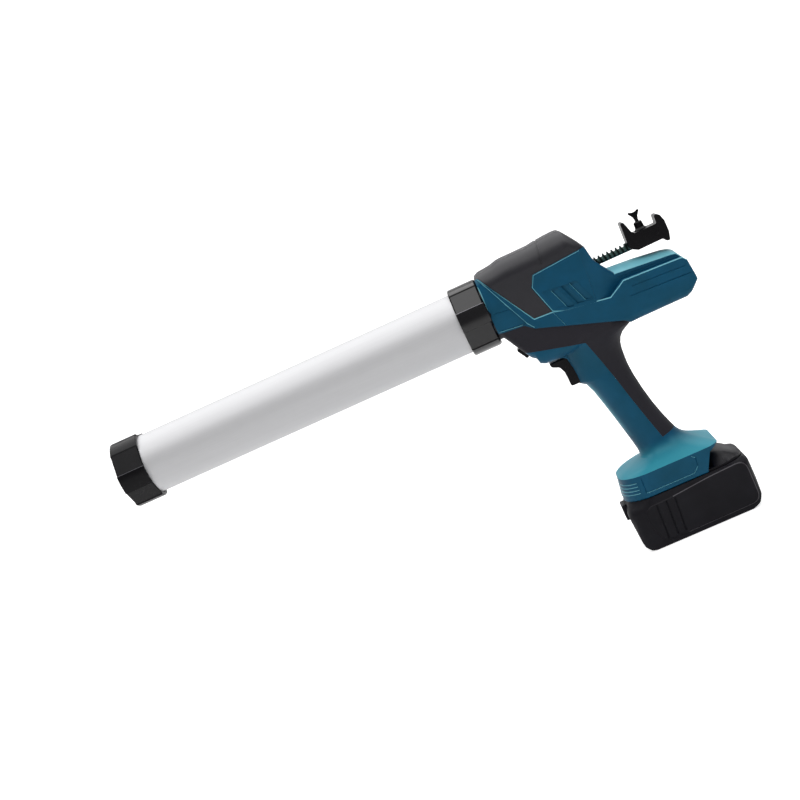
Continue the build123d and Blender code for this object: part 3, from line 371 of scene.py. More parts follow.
def groove(piece, start, end, surface, width, deep, finishes=()):
    line = (Vector(end) - Vector(start)).normalized()
    across = Vector((-line.y, line.x)) * width / 2
    rings = []
    for point in (Vector(start), Vector(end)):
        skin = depth(surface, point.x, point.y)
        side = -1.0 if skin < 0 else 1.0
        high = point + across
        low = point - across
        out = skin + side * OVERSHOOT
        rings.append([(high.x, out, high.y), (low.x, out, low.y), (point.x, skin - side * deep, point.y)])
    return cut(piece, mark_slope(loft("groove", rings), finishes))


# %% [markdown]
# ## Finishes: small helpers
# Colours are written as the hex values a painter would pick and turned to linear light by one function.
# One more function adds a node with its settings and links, so every material below reads as a short
# recipe. The others start a material, end it with its colours and bump, and lay one more colour over it.

# %% Colours and nodes
def hex_colour(text):
    channels = [int(text[place : place + 2], 16) / 255 for place in (1, 3, 5)]
    linear = [c / 12.92 if c <= 0.04045 else ((c + 0.055) / 1.055) ** 2.4 for c in channels]
    return (*linear, 1.0)


def add_node(tree, kind, sockets=None, **settings):
    node = tree.nodes.new(kind)
    for key, value in settings.items():
        setattr(node, key, value)
    for key, value in (sockets or {}).items():
        if isinstance(value, bpy.types.NodeSocket):
            tree.links.new(value, node.inputs[key])
        else:
            node.inputs[key].default_value = value
    return node


# %% Start and end of a material
def start_material(name, **sockets):
    material = bpy.data.materials.new(name)
    material.use_nodes = True
    tree = material.node_tree
    shader = tree.nodes["Principled BSDF"]
    for key, value in sockets.items():
        shader.inputs[key.replace("_", " ")].default_value = value
    place = add_node(tree, "ShaderNodeTexCoord").outputs["Object"]
    return material, tree, shader, place


def plug_in(tree, shader, **outputs):
    for key, output in outputs.items():
        tree.links.new(output, shader.inputs[key.replace("_", " ")])


def colour_and_bump(tree, shader, share, colours, height, strength, deep_mm):
    tones = {0: share, 6: hex_colour(colours[0]), 7: hex_colour(colours[1])}
    tone = add_node(tree, "ShaderNodeMix", tones, data_type="RGBA")
    relief = {"Height": height, "Strength": strength, "Distance": deep_mm * MM}
    bump = add_node(tree, "ShaderNodeBump", relief)
    plug_in(tree, shader, Base_Color=tone.outputs[2], Normal=bump.outputs["Normal"])


# Mixes a second colour into the base colour: all of it where the share is 0, none where it is 1
def recolour(material, share, colour):
    tree = material.node_tree
    target = tree.nodes["Principled BSDF"].inputs["Base Color"]
    colours = {0: share, 6: hex_colour(colour), 7: target.links[0].from_socket}
    mixed = add_node(tree, "ShaderNodeMix", colours, data_type="RGBA")
    tree.links.new(mixed.outputs[2], target)


def per_metre(size_mm):
    return 1.0 / (size_mm * MM)


# %% [markdown]
# ## Moulded plastic
# The shell, cover, caps and battery case are injection moulded. The mould is spark eroded, so the skin
# has a fine even grain; the melt leaves soft patches of slightly different tone and gloss. The recipe
# mixes two close colours by a wide noise, lifts the roughness with the same noise and adds a fine grain
# as bump. The real grain is about 0.1 mm; it is drawn at 0.5 mm or more so that it still shows in the
# picture.

# %% Moulded plastic recipe
PATCH_MM = 28.0


def moulded_plastic(name, colour, shade, roughness, gleam=0.2, grain_mm=0.6, grain_deep=0.05, tint="#ffffff"):
    material, tree, shader, place = start_material(name, Specular_IOR_Level=gleam)
    shader.inputs["Specular Tint"].default_value = hex_colour(tint)
    noise = {"Vector": place, "Scale": per_metre(PATCH_MM), "Detail": 3.0, "Roughness": 0.55}
    patch = add_node(tree, "ShaderNodeTexNoise", noise)
    limits = {"Value": patch.outputs["Fac"], "From Min": 0.3, "From Max": 0.7}
    spread = add_node(tree, "ShaderNodeMapRange", limits)
    limits.update({"To Min": roughness - 0.05, "To Max": roughness + 0.06})
    gloss = add_node(tree, "ShaderNodeMapRange", limits)
    plug_in(tree, shader, Roughness=gloss.outputs["Result"])
    fine = {"Vector": place, "Scale": per_metre(grain_mm), "Detail": 2.0, "Roughness": 0.6}
    grain = add_node(tree, "ShaderNodeTexNoise", fine)
    share, height = spread.outputs["Result"], grain.outputs["Fac"]
    colour_and_bump(tree, shader, share, (colour, shade), height, 0.35, grain_deep)
    return material


# %% Plastics of the outside
# Teal ABS with a satin skin; its pearl pigment tints the gleam, so lit slopes turn light green, not grey
TEAL = {"colour": "#084c70", "shade": "#06425f", "roughness": 0.42, "gleam": 0.5, "tint": "#a8f0f0"}
teal_abs = moulded_plastic("teal_abs_satin", **TEAL)
# The same plastic, pale and smooth, painted where edges and slopes catch the light: a painted highlight
teal_highlight = moulded_plastic("teal_abs_painted_highlight", "#7ac0ce", "#66adbe", 0.34, grain_deep=0.02)
# Dark glass-filled nylon of the cover: a little violet, with a dull grain
cover_nylon = moulded_plastic("charcoal_nylon_cover", "#1e1d25", "#191820", 0.44, 0.6, grain_mm=0.7)
# Polished black nylon of the collar: its facets mirror the room; a pale copy paints a highlight on its upper
# steps
collar_nylon = moulded_plastic("glossy_nylon_collar", "#0b0a0e", "#08070a", 0.2, 0.6)
collar_highlight = moulded_plastic("black_nylon_collar_painted_highlight", "#a8a6ae", "#96949c", 0.32, grain_deep=0.02)
# Half-gloss black nylon of the front cap, the trigger and the pull handle, with a grey copy that paints a
# highlight on the cap's upper steps
cap_nylon = moulded_plastic("black_nylon_caps", "#0c0b0f", "#09080b", 0.26, 0.18, grain_deep=0.03)
cap_highlight = moulded_plastic("black_nylon_caps_painted_highlight", "#4c4b50", "#403f44", 0.32, grain_deep=0.02)
# Battery case: black ABS with a coarse matt grain, and a paler copy that paints a highlight on the panel
# chamfers
pack_abs = moulded_plastic("black_abs_battery", "#1c1b21", "#16151a", 0.44, 0.16, grain_mm=0.8)
pack_highlight = moulded_plastic("black_abs_painted_highlight", "#565459", "#454348", 0.38, grain_deep=0.03)
# Plain grey nylon of the inside, as it leaves the mould
inner_nylon = moulded_plastic("grey_nylon_inner", "#343338", "#2d2c31", 0.5)
print("moulded plastics made")

# %% Teal with painted highlights
SHOULDER_HIGHLIGHT_FADE = [("Z", 66.0, 84.0)]
FRONT_HIGHLIGHT_FADE = [("Y", 2.0, 13.0), ("Z", 120.0, 89.0)]


# Each fade runs along one axis from the painted highlight to the plain teal, with Y the same on both sides
def teal_with_painted_highlight(name, fades, colour):
    material = moulded_plastic(name, **TEAL)
    tree = material.node_tree
    spot = add_node(tree, "ShaderNodeTexCoord").outputs["Object"]
    place = add_node(tree, "ShaderNodeSeparateXYZ", {0: spot})
    share = 0.0
    for axis, start, end in fades:
        off_middle = add_node(tree, "ShaderNodeMath", {0: place.outputs[axis]}, operation="ABSOLUTE")
        limits = {"Value": off_middle.outputs[0], "From Min": start * MM, "From Max": end * MM}
        fade = add_node(tree, "ShaderNodeMapRange", limits, interpolation_type="SMOOTHSTEP")
        both = {0: share, 1: fade.outputs["Result"]}
        share = add_node(tree, "ShaderNodeMath", both, operation="MAXIMUM").outputs[0]
    recolour(material, share, colour)
    return material


# Painted highlight on the shoulder of the foot: light at the crest, teal above it
teal_shoulder_highlight = teal_with_painted_highlight("teal_abs_shoulder_painted_highlight", SHOULDER_HIGHLIGHT_FADE, "#3293a8")
# Painted highlight down the front of the handle, strongest along the middle
teal_front_highlight = teal_with_painted_highlight("teal_abs_front_painted_highlight", FRONT_HIGHLIGHT_FADE, "#4aa0b4")
TEAL_PAIR = (teal_abs, teal_highlight)
TEALS = (*TEAL_PAIR, teal_shoulder_highlight, teal_front_highlight)
print("teal finishes:", len(TEALS))


# %% [markdown]
# ## Soft grip
# The grip skin is a thermoplastic rubber moulded over the shell. It is matt, soft looking and has small
# round dimples about 1.5 mm apart, which a Voronoi cell pattern gives; a wide noise adds the dull patches
# of handling.

# %% Grip rubber
def grip_rubber(name, colour, shade, cell_mm, cell_deep):
    material, tree, shader, place = start_material(name, Roughness=0.62, Specular_IOR_Level=0.25)
    cells = add_node(tree, "ShaderNodeTexVoronoi", {"Vector": place, "Scale": per_metre(cell_mm)})
    noise = {"Vector": place, "Scale": per_metre(24.0), "Detail": 4.0}
    patch = add_node(tree, "ShaderNodeTexNoise", noise)
    share, height = patch.outputs["Fac"], cells.outputs["Distance"]
    colour_and_bump(tree, shader, share, (colour, shade), height, 0.5, cell_deep)
    return material


# Charcoal rubber of the grip: matt, with dimples that break up the light
grip_tpe = grip_rubber("charcoal_grip_rubber", "#29272f", "#222127", 1.5, 0.12)
# Black seal rubber of the piston: almost smooth
seal_nbr = grip_rubber("black_seal_rubber", "#1b1b1b", "#141414", 0.9, 0.03)
print("rubbers made")


# %% [markdown]
# ## Metals
# The tube is satin anodised aluminium, drawn through a die, so faint lines run along it. Steel parts are
# turned or ground and show fine streaks, castings have a sandy grain. Each metal keeps the default index
# of refraction and takes its look from metallic, roughness and a stretched noise.

# %% Metal recipe
def metal(name, colour, shade, roughness, streak_mm, stretch, deep, metallic=1.0):
    material, tree, shader, place = start_material(name, Metallic=metallic)
    scale = [per_metre(streak_mm) * share for share in stretch]
    turned = add_node(tree, "ShaderNodeMapping", {"Vector": place, "Scale": scale})
    noise = {"Vector": turned.outputs["Vector"], "Scale": 1.0, "Detail": 3.0}
    streak = add_node(tree, "ShaderNodeTexNoise", noise)
    limits = {"Value": streak.outputs["Fac"], "To Min": roughness - 0.07, "To Max": roughness + 0.07}
    gloss = add_node(tree, "ShaderNodeMapRange", limits)
    plug_in(tree, shader, Roughness=gloss.outputs["Result"])
    colour_and_bump(tree, shader, streak.outputs["Fac"], (colour, shade), streak.outputs["Fac"], 0.3, deep)
    return material


# %% Metals of the tool
# Anodised skin is a thin oxide layer over the metal, so the tube is only partly metallic and looks milky
tube_aluminium = metal("satin_anodised_tube", "#dcdcde", "#d6d6d8", 0.46, 0.8, (0.01, 1, 1), 0.006, 0.2)
# Turned steel of shafts, gears and screws: bright, with fine rings from the lathe
bright_steel = metal("turned_steel", "#9a9da0", "#84878a", 0.30, 0.5, (1, 0.1, 0.1), 0.008)
# Die-cast aluminium of the motor can: pale grey and sandy
cast_metal = metal("die_cast_aluminium", "#a4a6a8", "#8b8d90", 0.48, 0.9, (1, 1, 1), 0.03)
# The same casting blackened, for the mount and the gear case
black_casting = metal("blackened_die_casting", "#2c2d30", "#232427", 0.55, 0.9, (1, 1, 1), 0.03)
# Black oxide on the thumb screw: dark, with a dull shine
black_steel = metal("black_oxide_steel", "#202123", "#17181a", 0.4, 0.5, (1, 1, 0.1), 0.008)
# Sintered bronze of the bushes: brown and porous
bush_bronze = metal("sintered_bronze", "#a98346", "#8c6a35", 0.45, 0.4, (1, 1, 1), 0.02)
# Plated brass of the contacts: yellow, with lines from rolling
contact_brass = metal("plated_brass_strip", "#cdb06a", "#b5974f", 0.28, 0.6, (0.1, 1, 1), 0.006)
print("metals made")

# %% Oiled rack steel
RACK_PITCH = 3.927
# A wave texture repeats over this length at scale 1
WAVE_PERIOD = 0.31416
rod_steel = metal("oiled_rack_steel", "#4a5f5c", "#3c504d", 0.36, 0.7, (0.1, 1, 1), 0.01)
# Painted shade between the teeth: one dark stripe to each pitch of the rack
tree = rod_steel.node_tree
place = add_node(tree, "ShaderNodeTexCoord").outputs["Object"]
stripes = {"Vector": place, "Scale": WAVE_PERIOD / (RACK_PITCH * MM)}
tooth_gap_shade = add_node(tree, "ShaderNodeTexWave", stripes, bands_direction="X")
recolour(rod_steel, tooth_gap_shade.outputs["Fac"], "#0d1312")
print("stripes every", RACK_PITCH, "mm")


# %% [markdown]
# ## Circuit board, lens and cell wrap
# Three small finishes for pieces that show only when the tool is opened or lit: a lacquered board with
# its copper tracks under the lacquer, a clear moulded lens with faint flow waves, and the shrink wrap of
# the cells.

# %% Small finishes
def board_lacquer(name):
    material, tree, shader, place = start_material(name, Roughness=0.3)
    # Tracks are about 1 mm wide, three to a brick of the pattern
    sockets = {"Vector": place, "Scale": per_metre(4.0), "Color1": hex_colour("#14502e")}
    sockets.update({"Color2": hex_colour("#10462a"), "Mortar": hex_colour("#2e7a4a"), "Mortar Size": 0.06})
    tracks = add_node(tree, "ShaderNodeTexBrick", sockets)
    height = {"Height": tracks.outputs["Fac"], "Strength": 0.3, "Distance": 0.03 * MM}
    bump = add_node(tree, "ShaderNodeBump", height)
    plug_in(tree, shader, Base_Color=tracks.outputs["Color"], Normal=bump.outputs["Normal"])
    return material


def clear_lens(name):
    material, tree, shader, place = start_material(name, Roughness=0.08, IOR=1.49, Transmission_Weight=0.85)
    waves = add_node(tree, "ShaderNodeTexNoise", {"Vector": place, "Scale": per_metre(1.6), "Detail": 1.0})
    colours = ("#eef0ea", "#dfe3dc")
    colour_and_bump(tree, shader, waves.outputs["Fac"], colours, waves.outputs["Fac"], 0.3, 0.1)
    return material


# Green lacquer with tracks that show as raised lighter lines
board_green = board_lacquer("lacquered_board")
# Clear acrylic that bends the light a little unevenly
lens_clear = clear_lens("moulded_acrylic_lens")
# Blue shrink wrap: smooth and soft in its folds
cell_wrap = moulded_plastic("blue_cell_wrap", "#2d5a7c", "#274f70", 0.3, grain_mm=2.0, grain_deep=0.04)
print("small finishes made")


# %% [markdown]
# ## Finishing a piece
# Every piece ends the same way: edges under 32 degrees are shaded smooth, weighted normals keep flat
# faces flat, and the piece rides on its body and stands in for its construction node.

# %% Settle a piece
SMOOTH_ANGLE = math.radians(32)


def settle(piece, name, body, slot, *nodes):
    make_active(piece)
    piece.name = name
    piece.data.name = name
    bpy.ops.object.shade_smooth_by_angle(angle=SMOOTH_ANGLE)
    level = piece.modifiers.new("weighted", "WEIGHTED_NORMAL")
    level.keep_sharp = True
    bpy.ops.object.modifier_apply(modifier=level.name)
    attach(piece, body)
    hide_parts(*nodes)
    print(name, "has", len(piece.data.polygons), "faces")


# %% [markdown]
# ## The upper body, as one loft
# The body is a hollow moulding with a hump over the gearbox and a nose that rises towards the tube. It is
# drawn as a row of cross-sections along the tube's axis; each section has a rounded top, nearly upright
# sides and a small round at the underside. The rear sections taper to the motor barrel.

# %% Upper body sections
SIDE = 27.6
UPPER_SECTIONS = [
    # x, top, top radius, underside, half-width
    (-92.1, 271.2, 10.0, 220.0, 27.0),
    (-88.0, 273.4, 12.0, 213.7, SIDE),
    (-81.5, 274.0, 14.0, 202.0, SIDE),
    (-77.0, 274.6, 15.0, 194.4, SIDE),
    (-75.0, 275.0, 15.0, 191.0, SIDE),
    (-71.5, 276.0, 16.0, 188.3, SIDE),
    (-70.0, 276.4, 16.0, 183.2, SIDE),
    (-65.7, 276.8, 16.0, 181.2, SIDE),
    (-56.0, 276.8, 16.0, 180.6, SIDE),
    (-41.0, 277.0, 16.0, 181.0, SIDE),
    (-33.0, 278.2, 17.0, 183.0, SIDE),
    (-24.0, 278.9, 17.0, 184.5, SIDE),
    (-16.0, 279.2, 17.0, 185.0, SIDE),
    (-12.6, 278.6, 15.0, 185.0, SIDE),
    (-10.0, 276.2, 13.0, 185.0, SIDE),
    (-4.0, 268.0, 9.0, 185.2, SIDE),
    (-1.0, 263.6, 7.0, 185.4, 25.9),
    (2.2, 258.0, 5.0, 185.6, 24.1),
    (4.2, 247.0, 4.0, 185.8, 23.0),
    (6.5, 242.0, 4.0, 186.2, 21.8),
    (9.7, 236.5, 4.0, 187.0, 20.1),
    (17.0, 226.5, 3.0, 192.0, 16.5),
]
LOW_R = 8.0
DRAFT = 0.9


def both_sides(x, flank):
    return [(x, y, z) for y, z in flank] + [(x, -y, z) for y, z in reversed(flank)]


def upper_ring(x, top, top_r, low, half, wall=0.0):
    top, low, half = top - wall, low + wall, half - wall
    left = arc((-half + DRAFT + LOW_R, low + LOW_R), LOW_R, 270, 180, 4)
    left += arc((-half + top_r, top - top_r), top_r, 180, 90, 7)
    return both_sides(x, left)


upper = dress(loft("upper", [upper_ring(*section) for section in UPPER_SECTIONS]), *TEALS)
print("upper body sections:", len(UPPER_SECTIONS))


# %% [markdown]
# ## The motor barrel
# Behind the hump lies the motor in a barrel. Its core has a roof-shaped top that catches the light above
# an upright dark band; a thick side plate covers each flank below it. Core and plates are lofts along the
# same axis.

# %% Barrel core
CROWN = [
    # x, ridge, eaves, underside
    (-6.0, 233.6, 228.4, 184.6),
    (10.0, 232.6, 227.4, 184.6),
    (36.0, 230.6, 225.1, 184.6),
    (59.5, 227.6, 222.9, 184.6),
    (65.0, 226.2, 222.4, 186.4),
    (69.0, 223.8, 221.4, 189.6),
    (74.6, 214.6, 213.8, 195.6),
]
CROWN_HALF = 16.5
KEEL_HALF, KEEL_RISE = 11.0, 9.0
EAVES_IN, EAVES_DROP = 0.5, 0.6


def core_ring(x, ridge, eaves, low):
    left = [(-KEEL_HALF, low), (-CROWN_HALF, low + KEEL_RISE)]
    left += [(-CROWN_HALF, eaves - EAVES_DROP), (-CROWN_HALF + EAVES_IN, eaves)]
    for share in (0.25, 0.5, 0.75, 0.95):
        rise = (ridge - eaves) * (1.0 - (1.0 - share) ** 1.5)
        left.append((-(CROWN_HALF - EAVES_IN) * (1.0 - share), eaves + rise))
    return both_sides(x, left)


core = dress(loft("core", [core_ring(*section) for section in CROWN]), *TEAL_PAIR)
# Painted highlight: the upward faces of the roof take the pale finish
mark_faces(core, PAINTED_HIGHLIGHT, lambda face: face.normal.z > 0.25)
print("barrel core has", len(core.data.polygons), "faces")

# %% Side plate of the barrel
PLATE = [
    # x, upper edge, lower edge, outer face, lower edge radius
    (-62.6, 214.0, 213.2, 28.0, 0.3),
    (-59.9, 220.9, 212.2, 28.0, 1.0),
    (-43.6, 220.1, 206.5, 28.0, 1.2),
    (-33.7, 217.6, 203.0, 28.0, 1.2),
    (5.0, 211.4, 189.6, 27.8, 1.5),
    (8.5, 213.3, 188.2, 27.7, 2.0),
    (12.4, 215.4, 184.7, 27.5, 4.0),
    (20.2, 219.9, 184.6, 27.0, 6.0),
    (45.0, 218.6, 184.6, 25.1, 6.0),
    (64.0, 217.6, 184.6, 23.6, 5.0),
    (69.0, 217.3, 187.0, 23.2, 4.0),
    (72.0, 216.9, 189.8, 22.9, 3.0),
    (75.2, 213.4, 193.0, 22.4, 2.0),
    (77.0, 198.5, 195.0, 21.6, 0.6),
]
PLATE_CHAMFER = 0.8
PLATE_INNER = 12.0


def plate_face(x, z):
    for (x0, _, _, y0, _), (x1, _, _, y1, _) in zip(PLATE, PLATE[1:]):
        if x0 <= x <= x1:
            return -(y0 + (y1 - y0) * (x - x0) / (x1 - x0))
    return -PLATE[0][3]


def plate_ring(x, high, low, face, low_r):
    ease = min(PLATE_CHAMFER, 0.3 * (high - low))
    ring = arc((-face + low_r, low + low_r), low_r, 270, 180, 4)
    ring += [(-face, high - ease), (-face + ease, high), (-PLATE_INNER, high), (-PLATE_INNER, low)]
    return [(x, y, z) for y, z in ring]


plate = loft("plate", [plate_ring(*section) for section in PLATE])
# Painted highlight on the plate's upper chamfer
mark_faces(dress(plate, *TEAL_PAIR), PAINTED_HIGHLIGHT, lambda face: face.normal.y < -0.35 and face.normal.z > 0.35)
print("plate has", len(plate.data.polygons), "faces")


# %% [markdown]
# ## Handle and foot
# The handle is an oval that leans back a little, flares into the body above and into the foot below, a
# broad block with a round front that carries the battery. One upright loft makes all of it: oval sections
# first, then sections that blend each oval into the outline of the foot, and at last the upright wall of
# the foot.

# %% Handle sections
HANDLE_SECTIONS = [
    # z, front, rear, half-width
    (200.0, -45.0, 11.0, 26.0),
    (196.0, -45.8, 12.5, 26.5),
    (191.0, -47.0, 14.5, 26.7),
    (187.0, -48.3, 16.2, 26.1),
    (184.0, -49.4, 15.4, 25.0),
    (181.0, -50.0, 9.4, 23.2),
    (178.0, -50.2, 4.2, 21.5),
    (174.5, -50.1, 1.0, 19.9),
    (170.0, -49.4, -1.1, 18.5),
    (165.0, -48.6, -2.1, 17.6),
    (158.0, -48.3, -2.6, 17.0),
    (153.0, -48.2, -2.8, 16.7),
    (150.5, -45.0, -2.8, 16.8),
    (148.5, -42.0, -2.7, 16.9),
    (140.0, -38.6, -2.0, 17.0),
    (126.0, -35.0, 0.2, 17.0),
    (112.0, -31.6, 3.2, 17.0),
    (98.0, -28.4, 7.2, 17.2),
    (88.0, -26.2, 10.8, 17.5),
]
HANDLE_FLAT = 1.5
CORNER_STEPS = 8


def plan_ring(z, front, rear, half, front_r, rear_r):
    ring = arc((front + front_r, -half + front_r), front_r, 180, 270, CORNER_STEPS)
    ring += arc((rear - rear_r, -half + rear_r), rear_r, 270, 360, CORNER_STEPS)
    ring += arc((rear - rear_r, half - rear_r), rear_r, 0, 90, CORNER_STEPS)
    ring += arc((front + front_r, half - front_r), front_r, 90, 180, CORNER_STEPS)
    return [(x, y, z) for x, y in ring]


def handle_ring(z, front, rear, half, wall=0.0):
    oval = half - wall - HANDLE_FLAT
    return plan_ring(z, front + wall, rear - wall, half - wall, oval, oval)


handle_rings = [handle_ring(*row) for row in HANDLE_SECTIONS]
print("handle sections:", len(handle_rings))

# %% Foot outline
FOOT_FRONT, FOOT_REAR, FOOT_HALF = -50.0, 38.0, 36.5
FOOT_CREASE, FOOT_LOW, FOOT_ROUND = 64.0, 44.0, 0.8
FRONT_R, REAR_R = 26.0, 12.0
FRONT_LEAN = 0.15


def foot_front(z):
    return FOOT_FRONT - FRONT_LEAN * max(0.0, FOOT_CREASE - z)


def foot_ring(z, ease=0.0):
    front, rear, half = foot_front(z) + ease, FOOT_REAR - ease, FOOT_HALF - ease
    return plan_ring(z, front, rear, half, FRONT_R - ease, REAR_R - ease)


foot_wall = [foot_ring(FOOT_CREASE), foot_ring(FOOT_LOW + FOOT_ROUND), foot_ring(FOOT_LOW, FOOT_ROUND)]
print("foot sections:", len(foot_wall))

# %% Flare between handle and foot
FLARE = [
    # z, share of the foot outline at the front, share at the sides and rear
    (83.0, 0.00, 0.015),
    (79.5, 0.00, 0.06),
    (76.5, 0.01, 0.14),
    (74.0, 0.03, 0.25),
    (72.0, 0.09, 0.375),
    (70.2, 0.30, 0.50),
    (68.6, 0.60, 0.62),
    (67.2, 0.78, 0.73),
    (66.0, 0.89, 0.83),
    (64.9, 0.955, 0.935),
]
NECK_Z, NECK_FRONT, NECK_REAR, NECK_HALF = HANDLE_SECTIONS[-1]
NECK_LEAN, NECK_FRONT_LEAN = 0.32, 0.6
SIDE_BLEND, FRONT_BLEND = 4.0, 14.0
FRONT_HIGHLIGHT_TOP = 150.0


def flare_ring(z, front_share, share):
    lean = (NECK_Z - z) * NECK_LEAN
    neck_r = NECK_HALF - HANDLE_FLAT
    oval = plan_ring(z, NECK_FRONT + lean * NECK_FRONT_LEAN, NECK_REAR + lean, NECK_HALF, neck_r, neck_r)
    ring = []
    for (x0, y0, _), (x1, y1, _) in zip(oval, foot_ring(z)):
        ahead = min(1.0, max(0.0, (-x0 - SIDE_BLEND) / FRONT_BLEND))
        mix = front_share * ahead + share * (1.0 - ahead)
        ring.append((x0 + (x1 - x0) * mix, y0 + (y1 - y0) * mix, z))
    return ring


def on_shoulder(face):
    return FOOT_CREASE < face.center.z / MM < NECK_Z


def on_front(face):
    return face.normal.x < -0.1 and NECK_Z < face.center.z / MM < FRONT_HIGHLIGHT_TOP


stem = dress(loft("stem", handle_rings + [flare_ring(*row) for row in FLARE] + foot_wall), *TEALS)
# The foot's shoulder and the handle's front take the teal with painted highlights
mark_faces(stem, SHOULDER_HIGHLIGHT_SLOT, on_shoulder)
mark_faces(stem, FRONT_HIGHLIGHT_SLOT, on_front)
print("handle and foot made")


# %% [markdown]
# ## The room inside
# The mouldings are shells about two millimetres thick. The room that they leave is drawn once, as a
# smaller copy of the same sections with bores for the motor and its fan, and later cut from every shell.

# %% Room
WALL, HANDLE_WALL = 2.0, 2.6
MOTOR_Z = 207.0
# A bore is written as its start, its end and its radius
MOTOR_ROOM, FAN_ROOM = (-30.0, 61.6, 18.9), (60.0, 71.0, 12.0)
STEM_FLOOR = (58.0, -18.0, 16.0, 14.5, 13.0, 13.0)
room_rings = [
    upper_ring(x, top, max(top_r - WALL, 1.0), low, half, WALL)
    for x, top, top_r, low, half in UPPER_SECTIONS[1:-3]
]
room = loft("room", room_rings)
fuse(room, rod_along("motor_room", "x", *MOTOR_ROOM, 0.0, MOTOR_Z, 48))
fuse(room, rod_along("fan_room", "x", *FAN_ROOM, 0.0, MOTOR_Z, 48))
stem_rings = [handle_ring(*row, HANDLE_WALL) for row in HANDLE_SECTIONS]
stem_rings.append(plan_ring(*STEM_FLOOR))
fuse(room, loft("stem_room", stem_rings))
print("room made")


# %% [markdown]
# ## From forms to shells
# The lofts are fused to one form. The form is then divided by prisms drawn in side view: one zone becomes
# the dark cover, one the rubber grip, and what is left is the teal shell. A gap of a quarter millimetre
# draws the seam of the cover; the rubber is moulded onto the shell, so its seam is almost closed.

# %% Zones in side view
COVER_ZONE = [(-97.0, 270.2), (-89.0, 270.2), (-59.9, 221.0), (-43.6, 220.0), (-51.4, 245.3), (-46.4, 255.0)]
COVER_ZONE += [(1.7, 258.5), (30.0, 262.0), (30.0, 300.0), (-97.0, 300.0)]
GRIP_ZONE = [(-98.0, 221.4), (-69.3, 218.8), (-62.6, 213.3), (9.4, 188.2), (16.0, 184.4), (40.0, 170.0)]
GRIP_ZONE += [(40.0, 84.5), (11.0, 85.4), (-1.6, 83.4), (-7.4, 104.0), (-12.4, 123.0), (-18.0, 146.0)]
GRIP_ZONE += [(-23.5, 166.0), (-29.0, 184.3), (-78.4, 197.2), (-98.0, 202.0)]
SEAM = 0.25
GRIP_SEAM = 0.03
FAR = 60.0


def zone(outline):
    return slab("zone", outline, -FAR, FAR)


def left_half():
    return block("left_half", -200, 200, -FAR, -0.01, -10, 320)


cover = keep_inside(copied(upper, "cover"), zone(inset(COVER_ZONE, SEAM)))
form = keep_inside(fuse(upper, core, stem), left_half())
grip = keep_inside(copied(form, "grip"), zone(inset(GRIP_ZONE, GRIP_SEAM)))
teal = cut(form, zone(COVER_ZONE), zone(GRIP_ZONE))
print("form divided into cover, grip and teal shell")


# %% [markdown]
# ## Plates and panels on the teal side
# The flank is a play of shallow layers: a raised band runs down from the nose and turns into the side
# plate, the window panel stands a little proud of the cover, and the front triangle lies deeper with a
# crease across it. Each layer is a slab with a chamfered rim; the rims take a pale finish, a painted
# highlight, which draws the pale lines.

# %% Raised band and window panel
BAND = [(-90.7, 271.6), (-89.0, 269.6), (-59.7, 220.8), (-50.0, 219.6)]
BAND += [(-50.0, 211.6), (-62.4, 213.6), (-67.0, 219.6)]
WINDOW = [(-46.2, 254.6), (-51.1, 245.3), (-43.2, 220.2), (-33.7, 216.2), (-6.6, 211.8), (-3.2, 257.9)]
# The chamfers of band and window take the pale finish: a painted highlight
band = mark_edges(dress(slab("band", BAND, -28.0, -24.0, 0.7), *TEAL_PAIR))
window = mark_edges(dress(slab("window", WINDOW, -27.9, -24.0, 0.6), *TEAL_PAIR), right=0.3)
fuse(teal, plate, band, window)
print("band and window fused to the shell")

# %% Front triangle, leaning in below its crease
TRIANGLE = [(-95.0, 279.0), (-95.0, 221.6), (-69.6, 219.0), (-67.1, 219.9), (-90.6, 270.9), (-92.0, 279.0)]
LOWER_FACET = [(-95.0, 239.0), (-74.2, 236.2), (-66.9, 220.2), (-69.4, 219.0), (-95.0, 221.6)]
TRIANGLE_Y = -27.0
OUTSIDE = -40.0
CREASE_Z, CREASE_OUT, FACET_LEAN = 238.0, 0.3, 0.07
NOSE_EDGE = [(-92.6, -27.5), (-90.7, -27.5), (-92.6, -25.9)]


def leaning(x, z):
    return TRIANGLE_Y - CREASE_OUT + (CREASE_Z - z) * FACET_LEAN


cut(teal, slab("triangle", TRIANGLE, OUTSIDE, TRIANGLE_Y), slab("facet", LOWER_FACET, OUTSIDE, leaning))
groove(teal, (-92.0, 238.6), (-75.0, 236.3), TRIANGLE_Y, 0.7, 0.35)
# The groove under the facet gets a painted highlight on its upward slope
groove(teal, (-92.0, 222.6), (-70.2, 220.2), leaning, 1.9, 0.7, TEAL_PAIR)
# The nose's front edge is cut by a cutter whose faces all carry the pale finish: a painted highlight
nose_edge = loft("nose_edge", [[(x, y, z) for x, y in NOSE_EDGE] for z in (221.5, 271.0)])
cut(teal, mark_faces(dress(nose_edge, *TEAL_PAIR), PAINTED_HIGHLIGHT, lambda face: True))
print("triangle made")

# %% Vents
VENT_PANEL = [(-45.0, 238.7), (-14.6, 235.2), (-7.8, 215.4), (-38.2, 221.0)]
VENT_PANEL_Y = -27.35
VENTS = [(-37.6, -30.4), (-29.6, -22.4), (-21.6, -14.4)]
LOUVRE_W, LOUVRE_LOW, LOUVRE_TALL = 5.6, 217.5, 19.0
LOUVRE_DEEP, LOUVRE_SLANT = -25.9, 1.3
LOUVRE_CORNERS = (236.6, 236.0, 217.1, 217.9)


